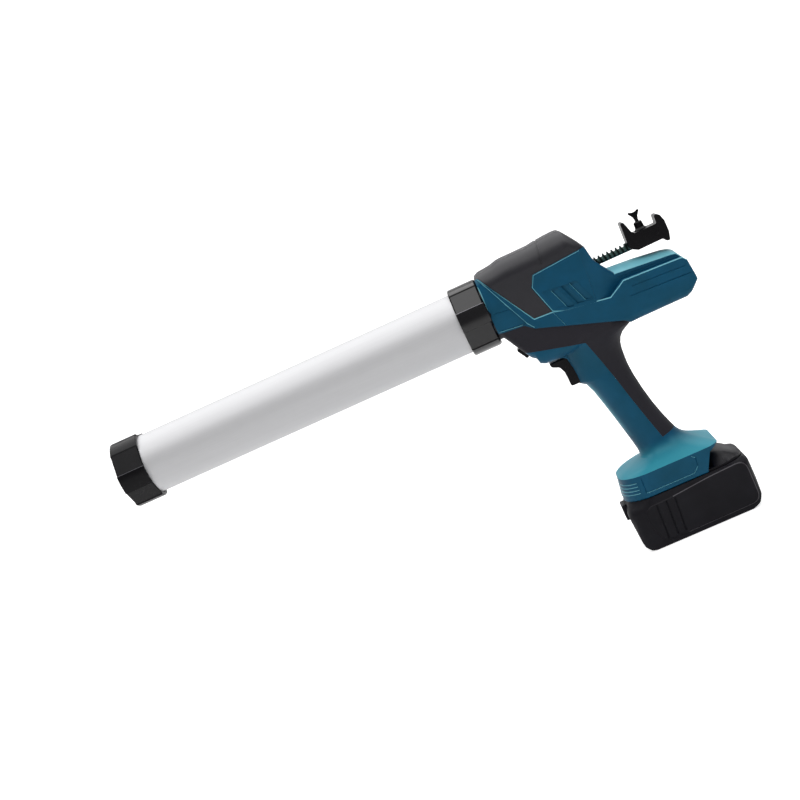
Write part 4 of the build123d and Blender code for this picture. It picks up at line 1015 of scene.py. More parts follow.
def louvre_floor(top, low):
    def floor_at(x, z):
        left = low + (top - low) * (z - LOUVRE_LOW) / LOUVRE_TALL
        return LOUVRE_DEEP - LOUVRE_SLANT * min(1.0, max(0.0, (x - left) / LOUVRE_W))

    return floor_at


cut(teal, slab("vent_panel", VENT_PANEL, OUTSIDE, VENT_PANEL_Y))
# Each louvre's left edge gets a groove whose upward slope takes the pale finish: a painted highlight
for top, low in VENTS:
    louvre = list(zip((top, top + LOUVRE_W, low + LOUVRE_W, low), LOUVRE_CORNERS))
    cut(teal, slab("louvre", louvre, OUTSIDE, louvre_floor(top, low)))
    groove(teal, louvre[0], louvre[3], VENT_PANEL_Y, 1.2, 0.45, TEAL_PAIR)
print("vents cut")

# %% Panel lines
# The first line's upward slope takes the pale finish: a painted highlight
groove(teal, (-43.4, 219.6), (-37.8, 205.2), plate_face, 1.0, 0.5, TEAL_PAIR)
groove(teal, (24.0, 212.4), (72.5, 209.4), plate_face, 0.9, 0.35)
groove(teal, (20.0, 205.4), (75.0, 202.2), plate_face, 0.9, 0.35)
groove(teal, (17.4, 222.8), (68.6, 219.9), -CROWN_HALF, 0.8, 0.4)
print("lines cut")


# %% [markdown]
# ## Details of the foot
# The foot has a panel outlined by fine lines on its flank and four short grip grooves round its front
# corner. Both follow the curved wall: the lines take their depth from the foot's own outline, and the
# grooves are thin rings of that outline with a V section. Their lower slopes catch the light, so they
# take the pale finish that paints that highlight.

# %% Foot panel and grooves
FOOT_CUT = [(21.0, 30.0), (21.0, 46.0), (28.3, 60.0), (37.0, 63.4), (70.0, 63.4), (70.0, 30.0)]
FOOT_PANEL = [(12.4, 62.6), (15.4, 60.4), (14.4, 52.8), (9.4, 48.4)]
FOOT_PANEL += [(-24.0, 48.5), (-28.5, 48.55), (-33.4, 48.6)]
GRIP_LEVELS = (50.0, 53.0, 56.0, 59.0)
GROOVE_HALF, GROOVE_DEEP, GROOVE_OUT = 1.1, 0.5, 0.6
# A box is written as x, y and z, each from and to
FRONT_CORNER = (-60.0, -38.0, -50.0, 1.0, 40.0, 70.0)


def foot_face(x, z):
    ahead = min(0.0, x - foot_front(z) - FRONT_R)
    return -(FOOT_HALF - FRONT_R) - math.sqrt(FRONT_R**2 - ahead**2)


cut(teal, zone(FOOT_CUT))
for start, end in zip(FOOT_PANEL, FOOT_PANEL[1:]):
    groove(teal, start, end, foot_face, 1.4, 0.5, TEAL_PAIR)
groove(teal, FOOT_PANEL[-1], (-33.0, 61.2), foot_face, 1.4, 0.6)
for level in GRIP_LEVELS:
    rings = [foot_ring(level + GROOVE_HALF, -GROOVE_OUT), foot_ring(level, GROOVE_DEEP)]
    rings.append(foot_ring(level - GROOVE_HALF, -GROOVE_OUT))
    corner = block("corner", *FRONT_CORNER)
    notch = keep_inside(loft("notch", rings, sleeve=True), corner)
    cut(teal, mark_slope(notch, TEAL_PAIR))
print("foot panel and grooves cut")

# %% Arch over the trigger, from the nose to the handle
ARCH_X, ARCH_Z, ARCH_R = -53.2, 173.6, 5.6
ARCH = [(-44.0, ARCH_Z), (-44.0, 182.0), (ARCH_X, 182.0)] + arc((ARCH_X, ARCH_Z), ARCH_R, 90, 0, 6)
fuse(teal, dress(slab("arch", ARCH, -12.5, -9.0, 0.7), teal_abs))
print("arch made")

# %% Openings for trigger, battery rail, tube mount and rod
TRIGGER_SLOT = (-75.0, -30.0, -9.7, 9.7, 152.0, 179.4)
RAIL_SLOT = (-46.5, 60.0, -17.7, 17.7, 40.0, 51.4)
HEAD_SLOT = (-46.5, 60.0, -21.5, 21.5, 50.2, 57.8)
MOUNT_BORE, ROD_HOLE = (-96.0, -85.0, TUBE_R + 0.1), (-12.0, 30.0, 6.6)


def raised(ring, top):
    return [(x, y, top) for x, y, z in ring]


LID_ROOM = plan_ring(40.0, FOOT_FRONT + 2.0, 70.0, FOOT_HALF - 1.9, FRONT_R - 2.0, 4.0)
lid_room = loft("lid_room", [LID_ROOM, raised(LID_ROOM, 46.0)])
cut(teal, lid_room)
for opening in (TRIGGER_SLOT, RAIL_SLOT, HEAD_SLOT):
    cut(teal, block("opening", *opening))


def end_bores():
    mount = rod_along("mount_bore", "x", *MOUNT_BORE, 0.0, AXIS_Z, 96)
    return mount, rod_along("rod_hole", "x", *ROD_HOLE, 0.0, AXIS_Z, 48)


cut(teal, copied(room, "room_teal"), *end_bores())
cut(grip, copied(room, "room_grip"), *end_bores())
cut(cover, room, *end_bores())
print("openings cut")


# %% [markdown]
# ## Right half, grips and cover
# The far side is the mirror image, with wells for the shell screws. The cover spans both sides as one
# piece.

# %% Shells, grips and cover in place
SHELL_SCREWS = [(-77.0, 232.0, 26.0), (-24.0, 245.0, 26.6), (-68.0, 202.0, 26.4), (-28.0, 194.0, 26.4)]
SHELL_SCREWS += [(-20.0, 140.0, 14.5), (-8.0, 84.0, 14.8)]
HEAD_R = 3.2


def screw_wells(piece):
    for x, z, top in SHELL_SCREWS:
        cut(piece, rod_along("well", "y", top - 1.5, 40.0, HEAD_R + 0.35, x, z, 24))
    return piece


teal_right = screw_wells(mirrored(teal, "teal_right"))
grip_right = screw_wells(mirrored(grip, "grip_right_copy"))
SEAM_LINE = [(-31.6, 284.0), (-30.2, 284.0), (-35.5, 260.0), (-36.9, 260.0)]
SEAM_DEEP = 0.7
skin = []
for x, top, top_r, low, half in UPPER_SECTIONS:
    skin.append(upper_ring(x, top, max(top_r - SEAM_DEEP, 1.0), low, half, SEAM_DEEP))
cut(cover, cut(zone(SEAM_LINE), loft("skin", skin)))
settle(teal, "shell_left", "body", "teal_shell", "housing_left")
settle(teal_right, "shell_right", "body", "teal_shell", "housing_right")
settle(dress(grip, grip_tpe), "grip_skin_left", "body", "grip_skin", "grip_left")
settle(dress(grip_right, grip_tpe), "grip_skin_right", "body", "grip_skin", "grip_right")
settle(dress(cover, cover_nylon), "hump_cover", "body", "dark_cover", "top_cover")


# %% [markdown]
# ## Screws
# Six self-tapping screws hold the halves together, four more close the battery. Each is a lathe form with
# a flat thread and a low head, and the cross recess is cut with two thin blocks.

# %% Screw form
SCREW_PITCH, SCREW_CORE, SCREW_CREST, SCREW_NECK = 1.2, 1.0, 1.35, 1.2
NECK_DEEP, THREAD_DEEP, CROSS_DEEP = 1.4, 1.5, 0.9
CROSS_ARM, CROSS_THIN = 0.55, 0.14
# Depth under the top of the head, step in from its rim
HEAD_PROFILE = [(1.3, 0.0), (0.5, 0.0), (0.1, 0.5), (0.0, 1.1)]


def screw(axis, u, v, top, length, head_r, out):
    inward = -out
    thread = []
    for turn in range(int(length / SCREW_PITCH)):
        start = top + inward * (length - SCREW_PITCH * turn)
        thread += [(start, SCREW_CORE), (start + out * SCREW_PITCH / 2, SCREW_CREST)]
    head = [(top + inward * NECK_DEEP, SCREW_NECK)]
    head += [(top + inward * deep, head_r - ease) for deep, ease in HEAD_PROFILE]
    sections = [row for row in thread if out * (top - row[0]) > THREAD_DEEP] + head
    piece = round_bar("screw", axis, sections, u, v, 24)
    reach = sorted((top + out, top + inward * CROSS_DEEP))
    arm, thin = head_r * CROSS_ARM, head_r * CROSS_THIN
    for a, b in ((arm, thin), (thin, arm)):
        if axis == "y":
            cross = block("cross", u - a, u + a, *reach, v - b, v + b)
        else:
            cross = block("cross", u - a, u + a, v - b, v + b, *reach)
        cut(piece, cross)
    return dress(piece, bright_steel)


# %% Shell screws
screws = [screw("y", x, z, top, 14.0, HEAD_R, 1.0) for x, z, top in SHELL_SCREWS]
settle(join(*screws), "shell_screw_set", "body", "bright_steel", "shell_screws")


# %% [markdown]
# ## Tube
# The tube is a plain drawn cylinder with a thin wall. A closed section, with rounded lips at both ends,
# is spun about the axis, which gives the wall its real thickness in one step.

# %% Tube
LIP = 0.65
section = arc((tube_low.x + LIP, TUBE_R - LIP), LIP, 270, 90, 6)
section += arc((tube_high.x - LIP, TUBE_R - LIP), LIP, 90, -90, 6)
tube = dress(spun("tube_skin", section, 128), tube_aluminium)
settle(tube, "tube_skin", "tube", "tube_pale", "tube")


# %% [markdown]
# ## Lobed caps
# Both ends of the tube are held by nylon rings with five raised grips between five flats, made to be
# turned by hand. The rim is drawn by a formula: full radius on a grip, a chord on a flat and a short
# steep step between them. Rings of that outline, drawn in at both ends for a chamfer, then turn inwards
# to form the bore.

# %% Cap outline
CAP_R = (cap_high.z - cap_low.z) / 2 + 0.2
LOBES = 5
LOBE_TURN = 360.0 / LOBES
FLAT_AT = 27.6
FLAT_HALF = 18.6
STEP_TURN = 1.2


def off_flat(angle, first):
    return abs((angle - first + LOBE_TURN / 2) % LOBE_TURN - LOBE_TURN / 2)


def lobed_radius(angle, first):
    off = off_flat(angle, first)
    chord = FLAT_AT / math.cos(math.radians(min(off, FLAT_HALF)))
    share = min(1.0, max(0.0, (off - FLAT_HALF) / STEP_TURN))
    return chord + (CAP_R - chord) * share


def lobed_angles(first):
    flat = [-FLAT_HALF, -11.0, -5.5, 0.0, 5.5, 11.0, FLAT_HALF]
    grip = [FLAT_HALF + STEP_TURN, 22.4, 27.0, 31.5, 36.0, 40.5, 45.0, 49.6]
    grip.append(LOBE_TURN - FLAT_HALF - STEP_TURN)
    return [first + LOBE_TURN * number + off for number in range(LOBES) for off in flat + grip]


print("cap radius", round(CAP_R, 2))

# %% Rings of the caps
def cap_ring(x, first, radius_at):
    ring = []
    for angle in lobed_angles(first):
        radius, turn = radius_at(angle), math.radians(angle)
        ring.append((x, radius * math.cos(turn), AXIS_Z + radius * math.sin(turn)))
    return ring


def lobed_sleeve(name, first, outside, bore):
    rings = [cap_ring(x, first, lambda angle: lobed_radius(angle, first) - drop) for x, drop in outside]
    rings += [cap_ring(x, first, lambda angle: radius) for x, radius in bore]
    return loft(name, rings, sleeve=True)


# %% Painted highlight on the upper steps of the caps
# Only steps that face up, outside the tube, take the pale finish: a painted highlight where the top light
# catches them
def mark_steps(piece, first):
    def on_upper_step(face):
        middle = face.center / MM
        angle = math.degrees(math.atan2(middle.z - AXIS_Z, middle.y))
        off = off_flat(angle, first)
        outside = math.hypot(middle.y, middle.z - AXIS_Z) > TUBE_R + 1.4
        step = FLAT_HALF < off < FLAT_HALF + STEP_TURN and abs(face.normal.x) < 0.5
        return outside and step and face.normal.z > 0.8

    return mark_faces(piece, PAINTED_HIGHLIGHT, on_upper_step)


# %% Front cap
CAP_TURN = 153.0
MOUTH_R = 14.5
front, rear = cap_low.x, cap_high.x
outside = [(front + 0.6, 2.0), (front + 1.2, 0.6), (front + 2.4, 0.0), (rear - 1.0, 0.0), (rear, 0.8)]
bore = [(rear, TUBE_R + 0.8), (rear - 0.6, TUBE_R + 0.3), (front + 6.0, TUBE_R + 0.3), (front + 6.0, MOUTH_R)]
bore += [(front + 0.8, MOUTH_R), (front, MOUTH_R + 0.8), (front, MOUTH_R + 3.4), (front + 0.6, MOUTH_R + 4.0)]
cap = dress(lobed_sleeve("front_cap_skin", CAP_TURN, outside, bore), cap_nylon, cap_highlight)
settle(mark_steps(cap, CAP_TURN), "front_cap_skin", "cap", "cap_black", "front_cap")

# %% Rear collar
COLLAR_TURN = 139.0
front, rear = collar_low.x, collar_high.x
outside = [(front, 0.8), (front + 1.0, 0.0), (rear - 1.6, 0.0), (rear, 1.4)]
bore = [(rear, TUBE_R + 0.2), (front + 0.6, TUBE_R + 0.3), (front, TUBE_R + 0.8)]
collar = dress(lobed_sleeve("collar_skin", COLLAR_TURN, outside, bore), collar_nylon, collar_highlight)
settle(mark_steps(collar, COLLAR_TURN), "collar_skin", "collar", "cap_black", "collar")


# %% [markdown]
# ## Trigger and lamp
# The trigger is a hooked finger piece with a stem that reaches to the switch behind it. Its side outline
# is pulled out to a slab and bevelled all round; shallow grooves across the front give the finger a hold.
# The lamp under the nose is a small tilted frame with a lens, drawn as rectangles pushed along the lamp's
# own axis.

# %% Trigger
TRIGGER = [(-64.0, 178.4), (-63.0, 174.4), (-57.0, 171.8), (-54.8, 167.0), (-54.2, 160.0), (-54.2, 153.0)]
TRIGGER += [(-43.5, 153.0), (-43.5, 178.4)]
TRIGGER_HALF = 9.2
TRIGGER_STEM = (-47.0, -34.0, -7.0, 7.0, 158.0, 174.0)
SPRING_BORE = (-43.0, -33.0, 5.0)
FINGER_LEVELS = (156.5, 159.5, 162.5, 165.5)
trigger = soften(slab("trigger", rounded(TRIGGER, 2.2, 4), -TRIGGER_HALF, TRIGGER_HALF), 1.1, 3)
for level in FINGER_LEVELS:
    cut(trigger, rod_along("finger_groove", "y", -12.0, 12.0, 0.8, -54.9, level, 16))
trigger_stem = soften(block("stem", *TRIGGER_STEM), 0.6)
fuse(trigger, cut(trigger_stem, rod_along("spring_bore", "x", *SPRING_BORE, 0.0, 166.0, 32)))
settle(dress(trigger, cap_nylon), "trigger_piece", "trigger", "cap_black", "trigger")

# %% Lamp frame and lens
LAMP_AT = Vector((-78.25, 0.0, 196.5))
LAMP_DOWN = Vector((6.5, 0.0, -11.0)).normalized()
LAMP_OUT = Vector((-11.0, 0.0, -6.5)).normalized()


def lamp_ring(high, wide, out, corner):
    outline = rounded([(-high, -wide), (high, -wide), (high, wide), (-high, wide)], corner, 3)
    return [tuple(LAMP_AT + LAMP_DOWN * a + Vector((0, b, 0)) + LAMP_OUT * out) for a, b in outline]


LAMP_FRAME = [
    # half height, half width, place along the axis, corner radius
    (5.5, 7.0, 0.0, 1.2),
    (5.5, 7.0, 3.0, 1.2),
    (4.9, 6.4, 3.6, 1.0),
    (4.0, 5.5, 3.6, 0.8),
    (3.9, 5.4, 2.4, 0.8),
    (3.0, 4.4, 1.0, 0.8),
]
LAMP_LENS = [(3.8, 5.3, 2.45, 0.8), (3.8, 5.3, 3.0, 0.8), (3.2, 4.7, 3.35, 0.7), (1.8, 3.0, 3.5, 0.6)]
lamp_frame = dress(loft("lamp_frame", [lamp_ring(*row) for row in LAMP_FRAME]), cap_nylon)
settle(lamp_frame, "lamp_frame", "body", "cap_black", "lamp_holder")
lamp_glass = dress(loft("lamp_glass", [lamp_ring(*row) for row in LAMP_LENS]), lens_clear)
settle(lamp_glass, "lamp_glass", "body", "lens_clear", "lamp_lens")


# %% [markdown]
# ## Pull handle and thumb screw
# The push rod ends in a saddle-shaped handle for pulling it back, clamped by a thumb screw. The saddle is
# a slab from its side outline with round edges; the boss and the thread are lathe forms.

# %% Pull handle
SADDLE = [(36.4, 243.0), (37.2, 262.3), (40.0, 262.2), (41.4, 258.5), (43.2, 252.4), (45.2, 250.2)]
SADDLE += [(65.0, 250.0), (65.4, 257.0), (68.0, 257.4), (70.4, 255.4), (72.2, 249.6), (72.2, 240.0)]
SADDLE += [(70.4, 232.7), (67.6, 233.0), (65.4, 236.2), (43.0, 235.8), (37.2, 239.0)]
SADDLE_HALF = 11.0
ROD_WAY = (34.0, 60.2, -2.75, 2.75, 237.2, 245.1)
SCREW_X = 52.0
saddle = soften(slab("saddle", rounded(SADDLE, 1.4, 3), -SADDLE_HALF, SADDLE_HALF), 0.8, 2)
BOSS = [(249.0, 5.6), (250.6, 5.4), (252.0, 4.0), (256.6, 3.6), (257.4, 2.8)]
boss = round_bar("boss", "z", BOSS, SCREW_X, 0.0, 24)
fuse(saddle, boss)
cut(saddle, block("rod_way", *ROD_WAY))
cut(saddle, rod_along("screw_way", "z", 243.0, 260.0, 2.0, SCREW_X, 0.0, 24))
settle(dress(saddle, cap_nylon), "pull_saddle", "rod", "cap_black", "pull_handle")

# %% Thumb screw
THREAD = [(245.2, 1.2), (245.8, 1.5)]
for turn in range(18):
    THREAD += [(246.2 + 0.8 * turn, 1.8), (246.6 + 0.8 * turn, 1.5)]
FAN = [(-1.6, 259.6), (1.6, 259.6), (2.2, 262.0), (5.0, 266.0), (4.2, 267.0), (1.0, 265.8)]
FAN += [(-1.0, 265.8), (-4.2, 267.0), (-5.0, 266.0), (-2.2, 262.0)]
thumb = round_bar("thumb", "z", THREAD + [(260.6, 1.5), (261.4, 1.2)], SCREW_X, 0.0, 20)
fan = soften(slab("fan", [(SCREW_X + x, z) for x, z in FAN], -1.2, 1.2), 0.4)
settle(dress(fuse(thumb, fan), black_steel), "thumb_screw_piece", "thumb_screw", "rod_steel", "thumb_screw")


# %% [markdown]
# ## Battery
# The pack is a deep tray closed by a lid with a slide head. The tray is an upright loft of a rounded
# outline, trimmed by the side profile for its round corners. Raised side panels with three upright flutes
# and a sunk bay for the latch break up its flanks; the panels' chamfers take a paler finish, a painted
# highlight.

# %% Battery tray
PACK_PROFILE = [(-50.6, 43.5), (-51.4, 42.9), (-55.4, 34.0), (-54.7, 26.0), (-53.4, 9.6), (-52.6, 5.0)]
PACK_PROFILE += [(-48.6, 0.8), (-43.5, 0.0), (43.0, 0.0), (50.4, 2.8), (54.2, 8.6), (55.5, 24.0)]
PACK_PROFILE.append((55.5, 43.5))
PACK_SIDE, PACK_SIDE_WALL, PACK_REAR_WALL = 36.7, 2.2, 2.6
HOLLOW_FRONT, HOLLOW_LOW = -47.6, 14.0
LOW_HOLLOW = (HOLLOW_FRONT, 47.8, -33.6, 33.6, 2.2, 20.0)
TRAY = [
    # z, front, front and rear radius, front and rear radius of the hollow
    (0.0, pack_low.x, 12.0, 10.0, 4.0, 8.0),
    (9.0, pack_low.x, 12.0, 10.0, 4.0, 8.0),
    (31.0, pack_low.x, 16.5, 10.0, 4.0, 8.0),
    (36.0, -54.4, 18.0, 10.0, 8.0, 8.0),
    (38.0, -53.6, 20.0, 11.0, 11.0, 8.5),
    (40.0, -52.7, 23.5, 13.0, 15.0, 10.0),
    (43.5, -51.0, 25.5, 22.0, 22.0, 18.5),
]
rear, side = pack_high.x - PACK_REAR_WALL, PACK_SIDE - PACK_SIDE_WALL
tray_rings = []
hollow = []
for z, front, *radii in TRAY:
    tray_rings.append(plan_ring(z, front, pack_high.x, PACK_SIDE, *radii[:2]))
    hollow.append(plan_ring(max(z, HOLLOW_LOW), HOLLOW_FRONT, rear, side, *radii[2:]))
hollow = hollow[1:] + [raised(hollow[-1], 50.0)]
tray = keep_inside(loft("tray", tray_rings), zone(rounded(PACK_PROFILE, 5.0, 4)))
soften(tray, 1.0, 3, 50.0)
cut(tray, loft("hollow", hollow), block("low_hollow", *LOW_HOLLOW))
dress(tray, pack_abs, pack_highlight)
print("tray has", len(tray.data.polygons), "faces")

# %% Panels and flutes on both flanks
PACK_PANEL = [(-39.3, 37.0), (-15.0, 37.8), (19.5, 41.0), (52.0, 42.5), (51.8, 4.2)]
PACK_PANEL += [(-14.0, 3.6), (-36.0, 4.4), (-42.0, 24.0)]
PACK_OUT = 37.4
FLUTE_LINES = [(-30.0, -31.4), (-21.4, -22.8), (-13.6, -15.6)]
panel = slab("panel", rounded(PACK_PANEL, 9.0, 5), -PACK_OUT, -33.4, 0.7)
# The panel's rear chamfers take the pale finish: a painted highlight
mark_edges(dress(panel, pack_abs, pack_highlight), left=-0.4, behind=-12.0)
fuse(tray, mirrored(panel, "far_panel"), panel)
for high_x, low_x in FLUTE_LINES:
    for face in (-PACK_OUT, PACK_OUT):
        groove(tray, (high_x, 36.2), (low_x, 6.0), face, 3.4, 0.9)
print("flutes on each flank:", len(FLUTE_LINES))

# %% Latch bay and screw wells of the tray
PACK_SCREWS = [(-50.2, -31.0, 6.4), (-50.2, 31.0, 6.4), (50.4, -31.0, 6.4), (50.4, 31.0, 6.4)]
PACK_HEAD_R = 2.2
LATCH_BAY = (-62.0, -52.2, -10.5, 10.5, 22.0, 46.0)
SPRING_BAY = (-53.4, -47.4, -8.3, 8.3, 12.0, 46.0)
cut(tray, block("latch_bay", *LATCH_BAY), block("spring_bay", *SPRING_BAY))
for x, y, top in PACK_SCREWS:
    cut(tray, rod_along("well", "z", -1.0, top + 1.6, PACK_HEAD_R + 0.2, x, y, 20))
settle(tray, "battery_tray", "battery", "pack_black", "battery_lower")
pack_screws = [screw("z", x, y, top, 10.0, PACK_HEAD_R, -1.0) for x, y, top in PACK_SCREWS]
settle(join(*pack_screws), "battery_screw_set", "battery", "bright_steel", "battery_screws")

# %% Battery lid with hump and slide head
LID_HALF = 34.0
SLIDE_RAIL = (-44.0, 24.0, -17.2, 17.2, 45.0, 51.0)
SLIDE_HEAD = (-44.0, 24.0, -21.0, 21.0, 50.6, 57.0)
HUMP = [(22.2, 46.2), (27.4, 54.6), (29.4, 55.8), (32.5, 55.2), (36.5, 54.0), (40.3, 52.2), (43.5, 50.2)]
HUMP += [(46.5, 47.9), (49.4, 46.2), (51.4, 45.5)]
lid_plan = plan_ring(43.5, FOOT_FRONT + 3.6, 52.8, LID_HALF, FRONT_R - 3.0, 19.5)


def lid_prism(top):
    return loft("lid", [lid_plan, raised(lid_plan, top)])


def hump_ring(x, crest):
    flank = [(LID_HALF, 44.0), (LID_HALF, 44.8)]
    flank += [(y, max(crest - drop, 45.0)) for y, drop in ((23.5, 2.4), (21.6, 1.0), (18.5, 0.2), (8.0, 0.0))]
    return both_sides(x, flank)


lid = lid_prism(45.4)
hump = keep_inside(loft("hump", [hump_ring(*row) for row in HUMP]), lid_prism(60.0))
rail = block("rail", *SLIDE_RAIL)
head = soften(block("head", *SLIDE_HEAD), 0.8)
fuse(lid, hump, rail, head)
for y in (-8.0, 8.0):
    cut(lid, block("contact_slot", -46.0, -22.0, y - 1.6, y + 1.6, 50.6, 58.0))
settle(dress(lid, pack_abs), "battery_lid", "battery", "pack_black", "battery_upper")

# %% Latch button
BUTTON = (-57.4, -53.0, -10.0, 10.0, 26.4, 40.2)
TONGUE = (-53.4, -47.8, -8.0, 8.0, 27.0, 40.0)
THUMB_LEVELS = (31.0, 34.0, 37.0)
button = soften(block("button", *BUTTON), 1.2, 3)
for level in THUMB_LEVELS:
    cut(button, rod_along("thumb_groove", "y", -8.0, 8.0, 0.7, -57.6, level, 16))
fuse(button, soften(block("tongue", *TONGUE), 0.5))
settle(dress(button, pack_abs), "latch_piece", "latch", "pack_black", "latch_button")


# %% [markdown]
# ## Springs
# A coil spring returns the trigger and a smaller one the latch. A small ring is extruded step by step
# along a helix, which keeps the wire round.

# %% Coil springs
def coil(name, origin, axis, length, pitch, radius, wire):
    axis = Vector(axis)
    side = axis.orthogonal().normalized()
    turns = length / pitch
    steps = int(turns * 16)
    corners = [math.pi / 4 * corner for corner in range(8)]
    rings = []
    for step in range(steps + 1):
        angle = 2 * math.pi * turns * step / steps
        out = side * math.cos(angle) + axis.cross(side) * math.sin(angle)
        run = (axis * pitch + axis.cross(out) * 2 * math.pi * radius).normalized()
        middle = Vector(origin) + axis * length * step / steps + out * radius
        rings.append([middle + (out * math.cos(a) + out.cross(run) * math.sin(a)) * wire for a in corners])
    return loft(name, rings)


trigger_coil = dress(coil("coil", (-42.4, 0.0, 166.0), (1, 0, 0), 14.8, 3.2, 3.6, 0.5), bright_steel)
settle(trigger_coil, "trigger_coil", "body", "bright_steel", "trigger_spring")
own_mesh(trigger_coil)
latch_coil = dress(coil("coil", (-50.4, 0.0, 12.5), (0, 0, 1), 14.0, 3.0, 2.0, 0.4), bright_steel)
settle(latch_coil, "latch_coil", "battery", "bright_steel", "latch_spring")
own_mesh(latch_coil)


# %% [markdown]
# ## Finishes for the inner pieces
# Gears, shafts, motor, piston, board and cells keep their construction meshes, because their shapes are
# right already. Each gets the procedural finish of its material, chosen by kind.

# %% Dress the construction nodes
STEEL_PIECES = ["motor_shaft", "cross_shaft", "pinion_shaft", "idler_gear", "spur_pinion", "spur_gear"]
STEEL_PIECES += ["sun_one", "carrier_one", "carrier_two", "ring_gear", "bevel_gear", "bevel_pinion"]
STEEL_PIECES += ["clutch_cone", "rotor_core", "mount_screws", "piston_screw"]
STEEL_PIECES += [f"planet_{stage}_{letter}" for stage in ("one", "two") for letter in "abc"]
NYLON_PIECES = ["rod_guide", "motor_end_bell", "cooling_fan", "switch_block", "terminal_block", "cell_holder"]
INNER_FINISHES = {
    rod_steel: ["rod"],
    bright_steel: STEEL_PIECES,
    cast_metal: ["motor_can"],
    black_casting: ["front_mount", "gear_case"],
    bush_bronze: ["shaft_bushes"],
    contact_brass: ["battery_contacts"],
    inner_nylon: NYLON_PIECES,
    seal_nbr: ["piston_seal"],
    board_green: ["control_board"],
    cell_wrap: ["battery_cells"],
    cap_nylon: ["nozzle_seat", "piston"],
}
for finish, names in INNER_FINISHES.items():
    for name in names:
        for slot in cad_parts[name].material_slots:
            slot.material = finish
dressed = sum(len(names) for names in INNER_FINISHES.values())
print("construction nodes dressed:", dressed, "of", len(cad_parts))


# %% [markdown]
# ## Floor, light and camera
# A studio sweep, which is a floor that curves up into a back wall, shows white to the camera and in
# reflections but still takes the shadow. One broad soft light hangs above; the rest of the room is dim,
# as in a studio, so faces towards the camera stay deep in colour. The camera stands low on the left side,
# tilted as in the picture.

# %% Sweep
SWEEP_SIZE, SWEEP_HIGH, SWEEP_R = 9.0, 3.2, 0.9
clear_selection()
bpy.ops.mesh.primitive_plane_add(size=SWEEP_SIZE, location=(0, -2.0, -0.0005))
floor = bpy.context.object
floor.name = "floor"
bpy.ops.object.transform_apply(location=True, rotation=True, scale=True)
bpy.ops.object.mode_set(mode="EDIT")
bpy.ops.mesh.select_mode(type="EDGE")


def select_back_edge():
    bpy.ops.mesh.select_all(action="DESELECT")
    mesh = bmesh.from_edit_mesh(floor.data)
    for edge in mesh.edges:
        edge.select_set(all(vert.co.y > 2.0 and vert.co.z < 0.1 for vert in edge.verts))
    bmesh.update_edit_mesh(floor.data)


select_back_edge()
bpy.ops.mesh.extrude_region_move(TRANSFORM_OT_translate={"value": (0, 0, SWEEP_HIGH)})
select_back_edge()
bpy.ops.mesh.bevel(offset=SWEEP_R, segments=14, affect="EDGES")
bpy.ops.object.mode_set(mode="OBJECT")
bpy.ops.object.shade_smooth_by_angle(angle=SMOOTH_ANGLE)
print("sweep faces:", len(floor.data.polygons))

# %% Paint of the sweep
CAMERA_GLOW, MIRROR_GLOW = 0.7, 0.1
# Matt pale paint without any gleam, so the light leaves no bright spot on the sweep
floor_paint = bpy.data.materials.new("pale_sweep_paint")
floor_paint.use_nodes = True
tree = floor_paint.node_tree
shader = tree.nodes["Principled BSDF"]
shader.inputs["Base Color"].default_value = hex_colour("#e6e6e6")
shader.inputs["Roughness"].default_value = 0.9
shader.inputs["Specular IOR Level"].default_value = 0.0
shader.inputs["Emission Color"].default_value = (1, 1, 1, 1)
rays = add_node(tree, "ShaderNodeLightPath").outputs
mirrored_rays = {0: rays["Is Glossy Ray"], 1: rays["Is Transmission Ray"]}
mirrored_rays = add_node(tree, "ShaderNodeMath", mirrored_rays, operation="ADD")
# The lit floor alone is nearly white in a reflection; the camera sees it at a grazing angle and needs more
weak = {0: mirrored_rays.outputs[0], 1: MIRROR_GLOW}
weak = add_node(tree, "ShaderNodeMath", weak, operation="MULTIPLY")
glow = {0: rays["Is Camera Ray"], 1: CAMERA_GLOW, 2: weak.outputs[0]}
glow = add_node(tree, "ShaderNodeMath", glow, operation="MULTIPLY_ADD")
plug_in(tree, shader, Emission_Strength=glow.outputs[0])
floor.data.materials.append(floor_paint)
print("sweep glows for the camera with", CAMERA_GLOW)

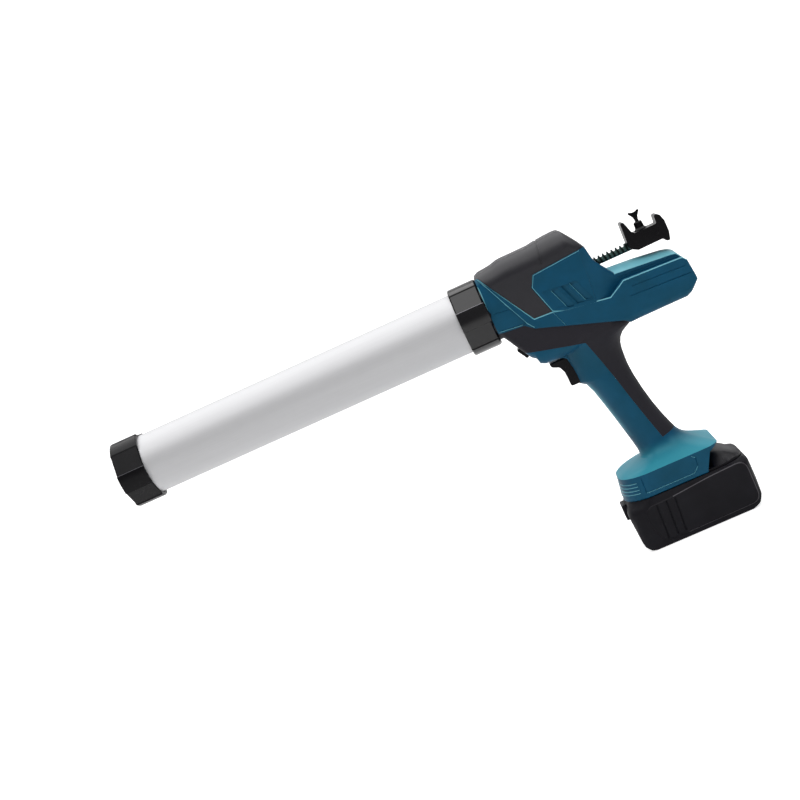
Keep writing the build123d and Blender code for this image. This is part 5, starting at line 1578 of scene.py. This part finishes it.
# %% Dim room
ROOM_LIGHT = 0.22
world = bpy.data.worlds.new("studio")
world.use_nodes = True
bpy.context.scene.world = world
room_light = world.node_tree.nodes["Background"]
room_light.inputs["Color"].default_value = (1, 1, 1, 1)
room_light.inputs["Strength"].default_value = ROOM_LIGHT
print("room light", ROOM_LIGHT)

# %% Soft light
SOFTBOX_PLACE, SOFTBOX_AIM = Vector((-0.1, 0.1, 1.9)), Vector((-0.1, 0.1, 0.2))
SOFTBOX_SIZE, SOFTBOX_WATTS = 3.6, 71.0
softbox = bpy.data.lights.new("top_softbox", "AREA")
softbox.shape = "SQUARE"
softbox.size = SOFTBOX_SIZE
softbox.energy = SOFTBOX_WATTS
softbox_stand = bpy.data.objects.new("top_softbox", softbox)
bpy.context.scene.collection.objects.link(softbox_stand)
softbox_stand.location = SOFTBOX_PLACE
softbox_stand.rotation_euler = (SOFTBOX_AIM - SOFTBOX_PLACE).to_track_quat("-Z", "Y").to_euler()
print("softbox of", SOFTBOX_WATTS, "watts")

# %% Camera
CAMERA_PLACE = (-62.2, -1288.08, 360.4)
AZIMUTH, ELEVATION, ROLL = (math.radians(angle) for angle in (5.8, 7.0, 24.85))
FOCAL_PIXELS, IMAGE_WIDTH, SENSOR = 1515.0, 800.0, 36.0
away = math.cos(ELEVATION)
back = Vector((math.sin(AZIMUTH) * away, -math.cos(AZIMUTH) * away, math.sin(ELEVATION)))
level_right = (-back).cross(Vector((0, 0, 1))).normalized()
level_up = level_right.cross(-back)
right = level_right * math.cos(ROLL) - level_up * math.sin(ROLL)
up = level_right * math.sin(ROLL) + level_up * math.cos(ROLL)
camera = bpy.data.objects.new("camera", bpy.data.cameras.new("camera"))
bpy.context.scene.collection.objects.link(camera)
camera.data.sensor_width = SENSOR
camera.data.lens = SENSOR * FOCAL_PIXELS / IMAGE_WIDTH
turn = Matrix((right, up, back)).transposed().to_4x4()
camera.matrix_world = Matrix.Translation(Vector(CAMERA_PLACE) * MM) @ turn
bpy.context.scene.camera = camera
bpy.context.scene.view_settings.view_transform = "Standard"
print("camera lens, mm:", round(camera.data.lens, 1))
